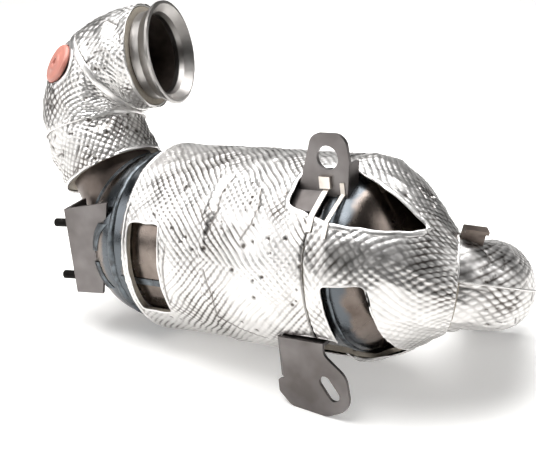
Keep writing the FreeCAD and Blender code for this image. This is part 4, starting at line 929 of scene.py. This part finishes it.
def ring_weld(name, node, weld_at, seed):
    """A weld bead round the shell, rippled as each puddle froze."""
    count, section, puddles_round = 520, 9, 190
    turns = np.arange(count) * 2 * math.pi / count
    # about how far round the bead each point lies, in millimetres
    along = turns * 80
    puddles = 0.5 * np.abs(np.sin(turns * puddles_round / 2)) + 0.5 * ripples(along, 0 * turns, 9, seed)
    width = 3.4 + 0.5 * ripples(along, 0 * turns, 30, seed + 1)
    rise = 1.5 + 0.28 * puddles
    rings = []
    for angle in np.linspace(0, math.pi, section):
        radius = SHELL_RADIUS - 0.1 + rise * math.sin(angle)
        rings.append(np.stack([weld_at + width * math.cos(angle), -radius * np.cos(turns),
                               radius * np.sin(turns)], axis=-1))
    made = build(name, np.concatenate(rings), ring_faces(section, count), weld_metal)
    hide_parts(node)


ring_weld("inlet_ring_weld", "inlet_dome_weld", SHELL_START, 71)
ring_weld("outlet_ring_weld", "outlet_dome_weld", SHELL_END, 73)

# ---------------------------------------------------------------- floor, light and camera

bpy.ops.mesh.primitive_plane_add(size=30, location=(0, 0, 0))
floor = bpy.context.object
floor.name = "floor"
# Pale paper on a light table: it gives a little light of its own, so shadows stay pale
paper, paper_tree, paper_shader, _ = new_material("pale_paper")
feed(paper_tree, paper_shader, {
    "Base Color": colour("#f4f3f1"), "Roughness": 0.6,
    "Emission Color": colour("#ffffff"), "Emission Strength": 0.26,
})
floor.data.materials.append(paper)


def softbox(name, place, width, height, power):
    """A soft light in metres and watts, facing the converter."""
    lamp = bpy.data.lights.new(name, "AREA")
    lamp.shape = "RECTANGLE"
    lamp.size, lamp.size_y, lamp.energy = width, height, power
    holder = bpy.data.objects.new(name, lamp)
    bpy.context.scene.collection.objects.link(holder)
    holder.location = place
    holder.rotation_euler = (Vector((0, 0, 0.1)) - Vector(place)).to_track_quat("-Z", "Y").to_euler()


softbox("overhead_light", (-0.2, 0.2, 1.7), 2.2, 1.5, 70)
softbox("left_light", (-1.9, -0.3, 0.9), 1.2, 1.2, 15)
softbox("right_light", (1.9, -0.5, 1.0), 0.9, 1.2, 9)
# A white room, dimmer low down and on the side that the converter faces
world = bpy.data.worlds.new("studio")
world.use_nodes = True
sky = world.node_tree
around_room = add(sky, "TexCoord", {}, "Generated")
lit_side = add(sky, "VectorMath", {0: around_room, 1: (0.0, 0.45, 0.89)}, "Value",
               operation="DOT_PRODUCT")
glow = add(sky, "MapRange", {"Value": lit_side, "From Min": -0.7, "From Max": 0.7,
                             "To Min": 0.86, "To Max": 1.25})
feed(sky, sky.nodes["Background"], {"Strength": glow})
bpy.context.scene.world = world
bpy.context.scene.view_settings.view_transform = "Standard"

LOOK_AT = Vector(ORIGIN) + Vector((0.08, 0, 0.0072))
DISTANCE, ELEVATION = 1.124, math.radians(22.0)
lens = bpy.data.cameras.new("camera")
lens.sensor_width, lens.lens = 36.0, 80.597015
camera = bpy.data.objects.new("camera", lens)
bpy.context.scene.collection.objects.link(camera)
camera.location = LOOK_AT + Vector((0, -math.cos(ELEVATION), math.sin(ELEVATION))) * DISTANCE
camera.rotation_euler = (LOOK_AT - camera.location).to_track_quat("-Z", "Y").to_euler()
bpy.context.scene.camera = camera
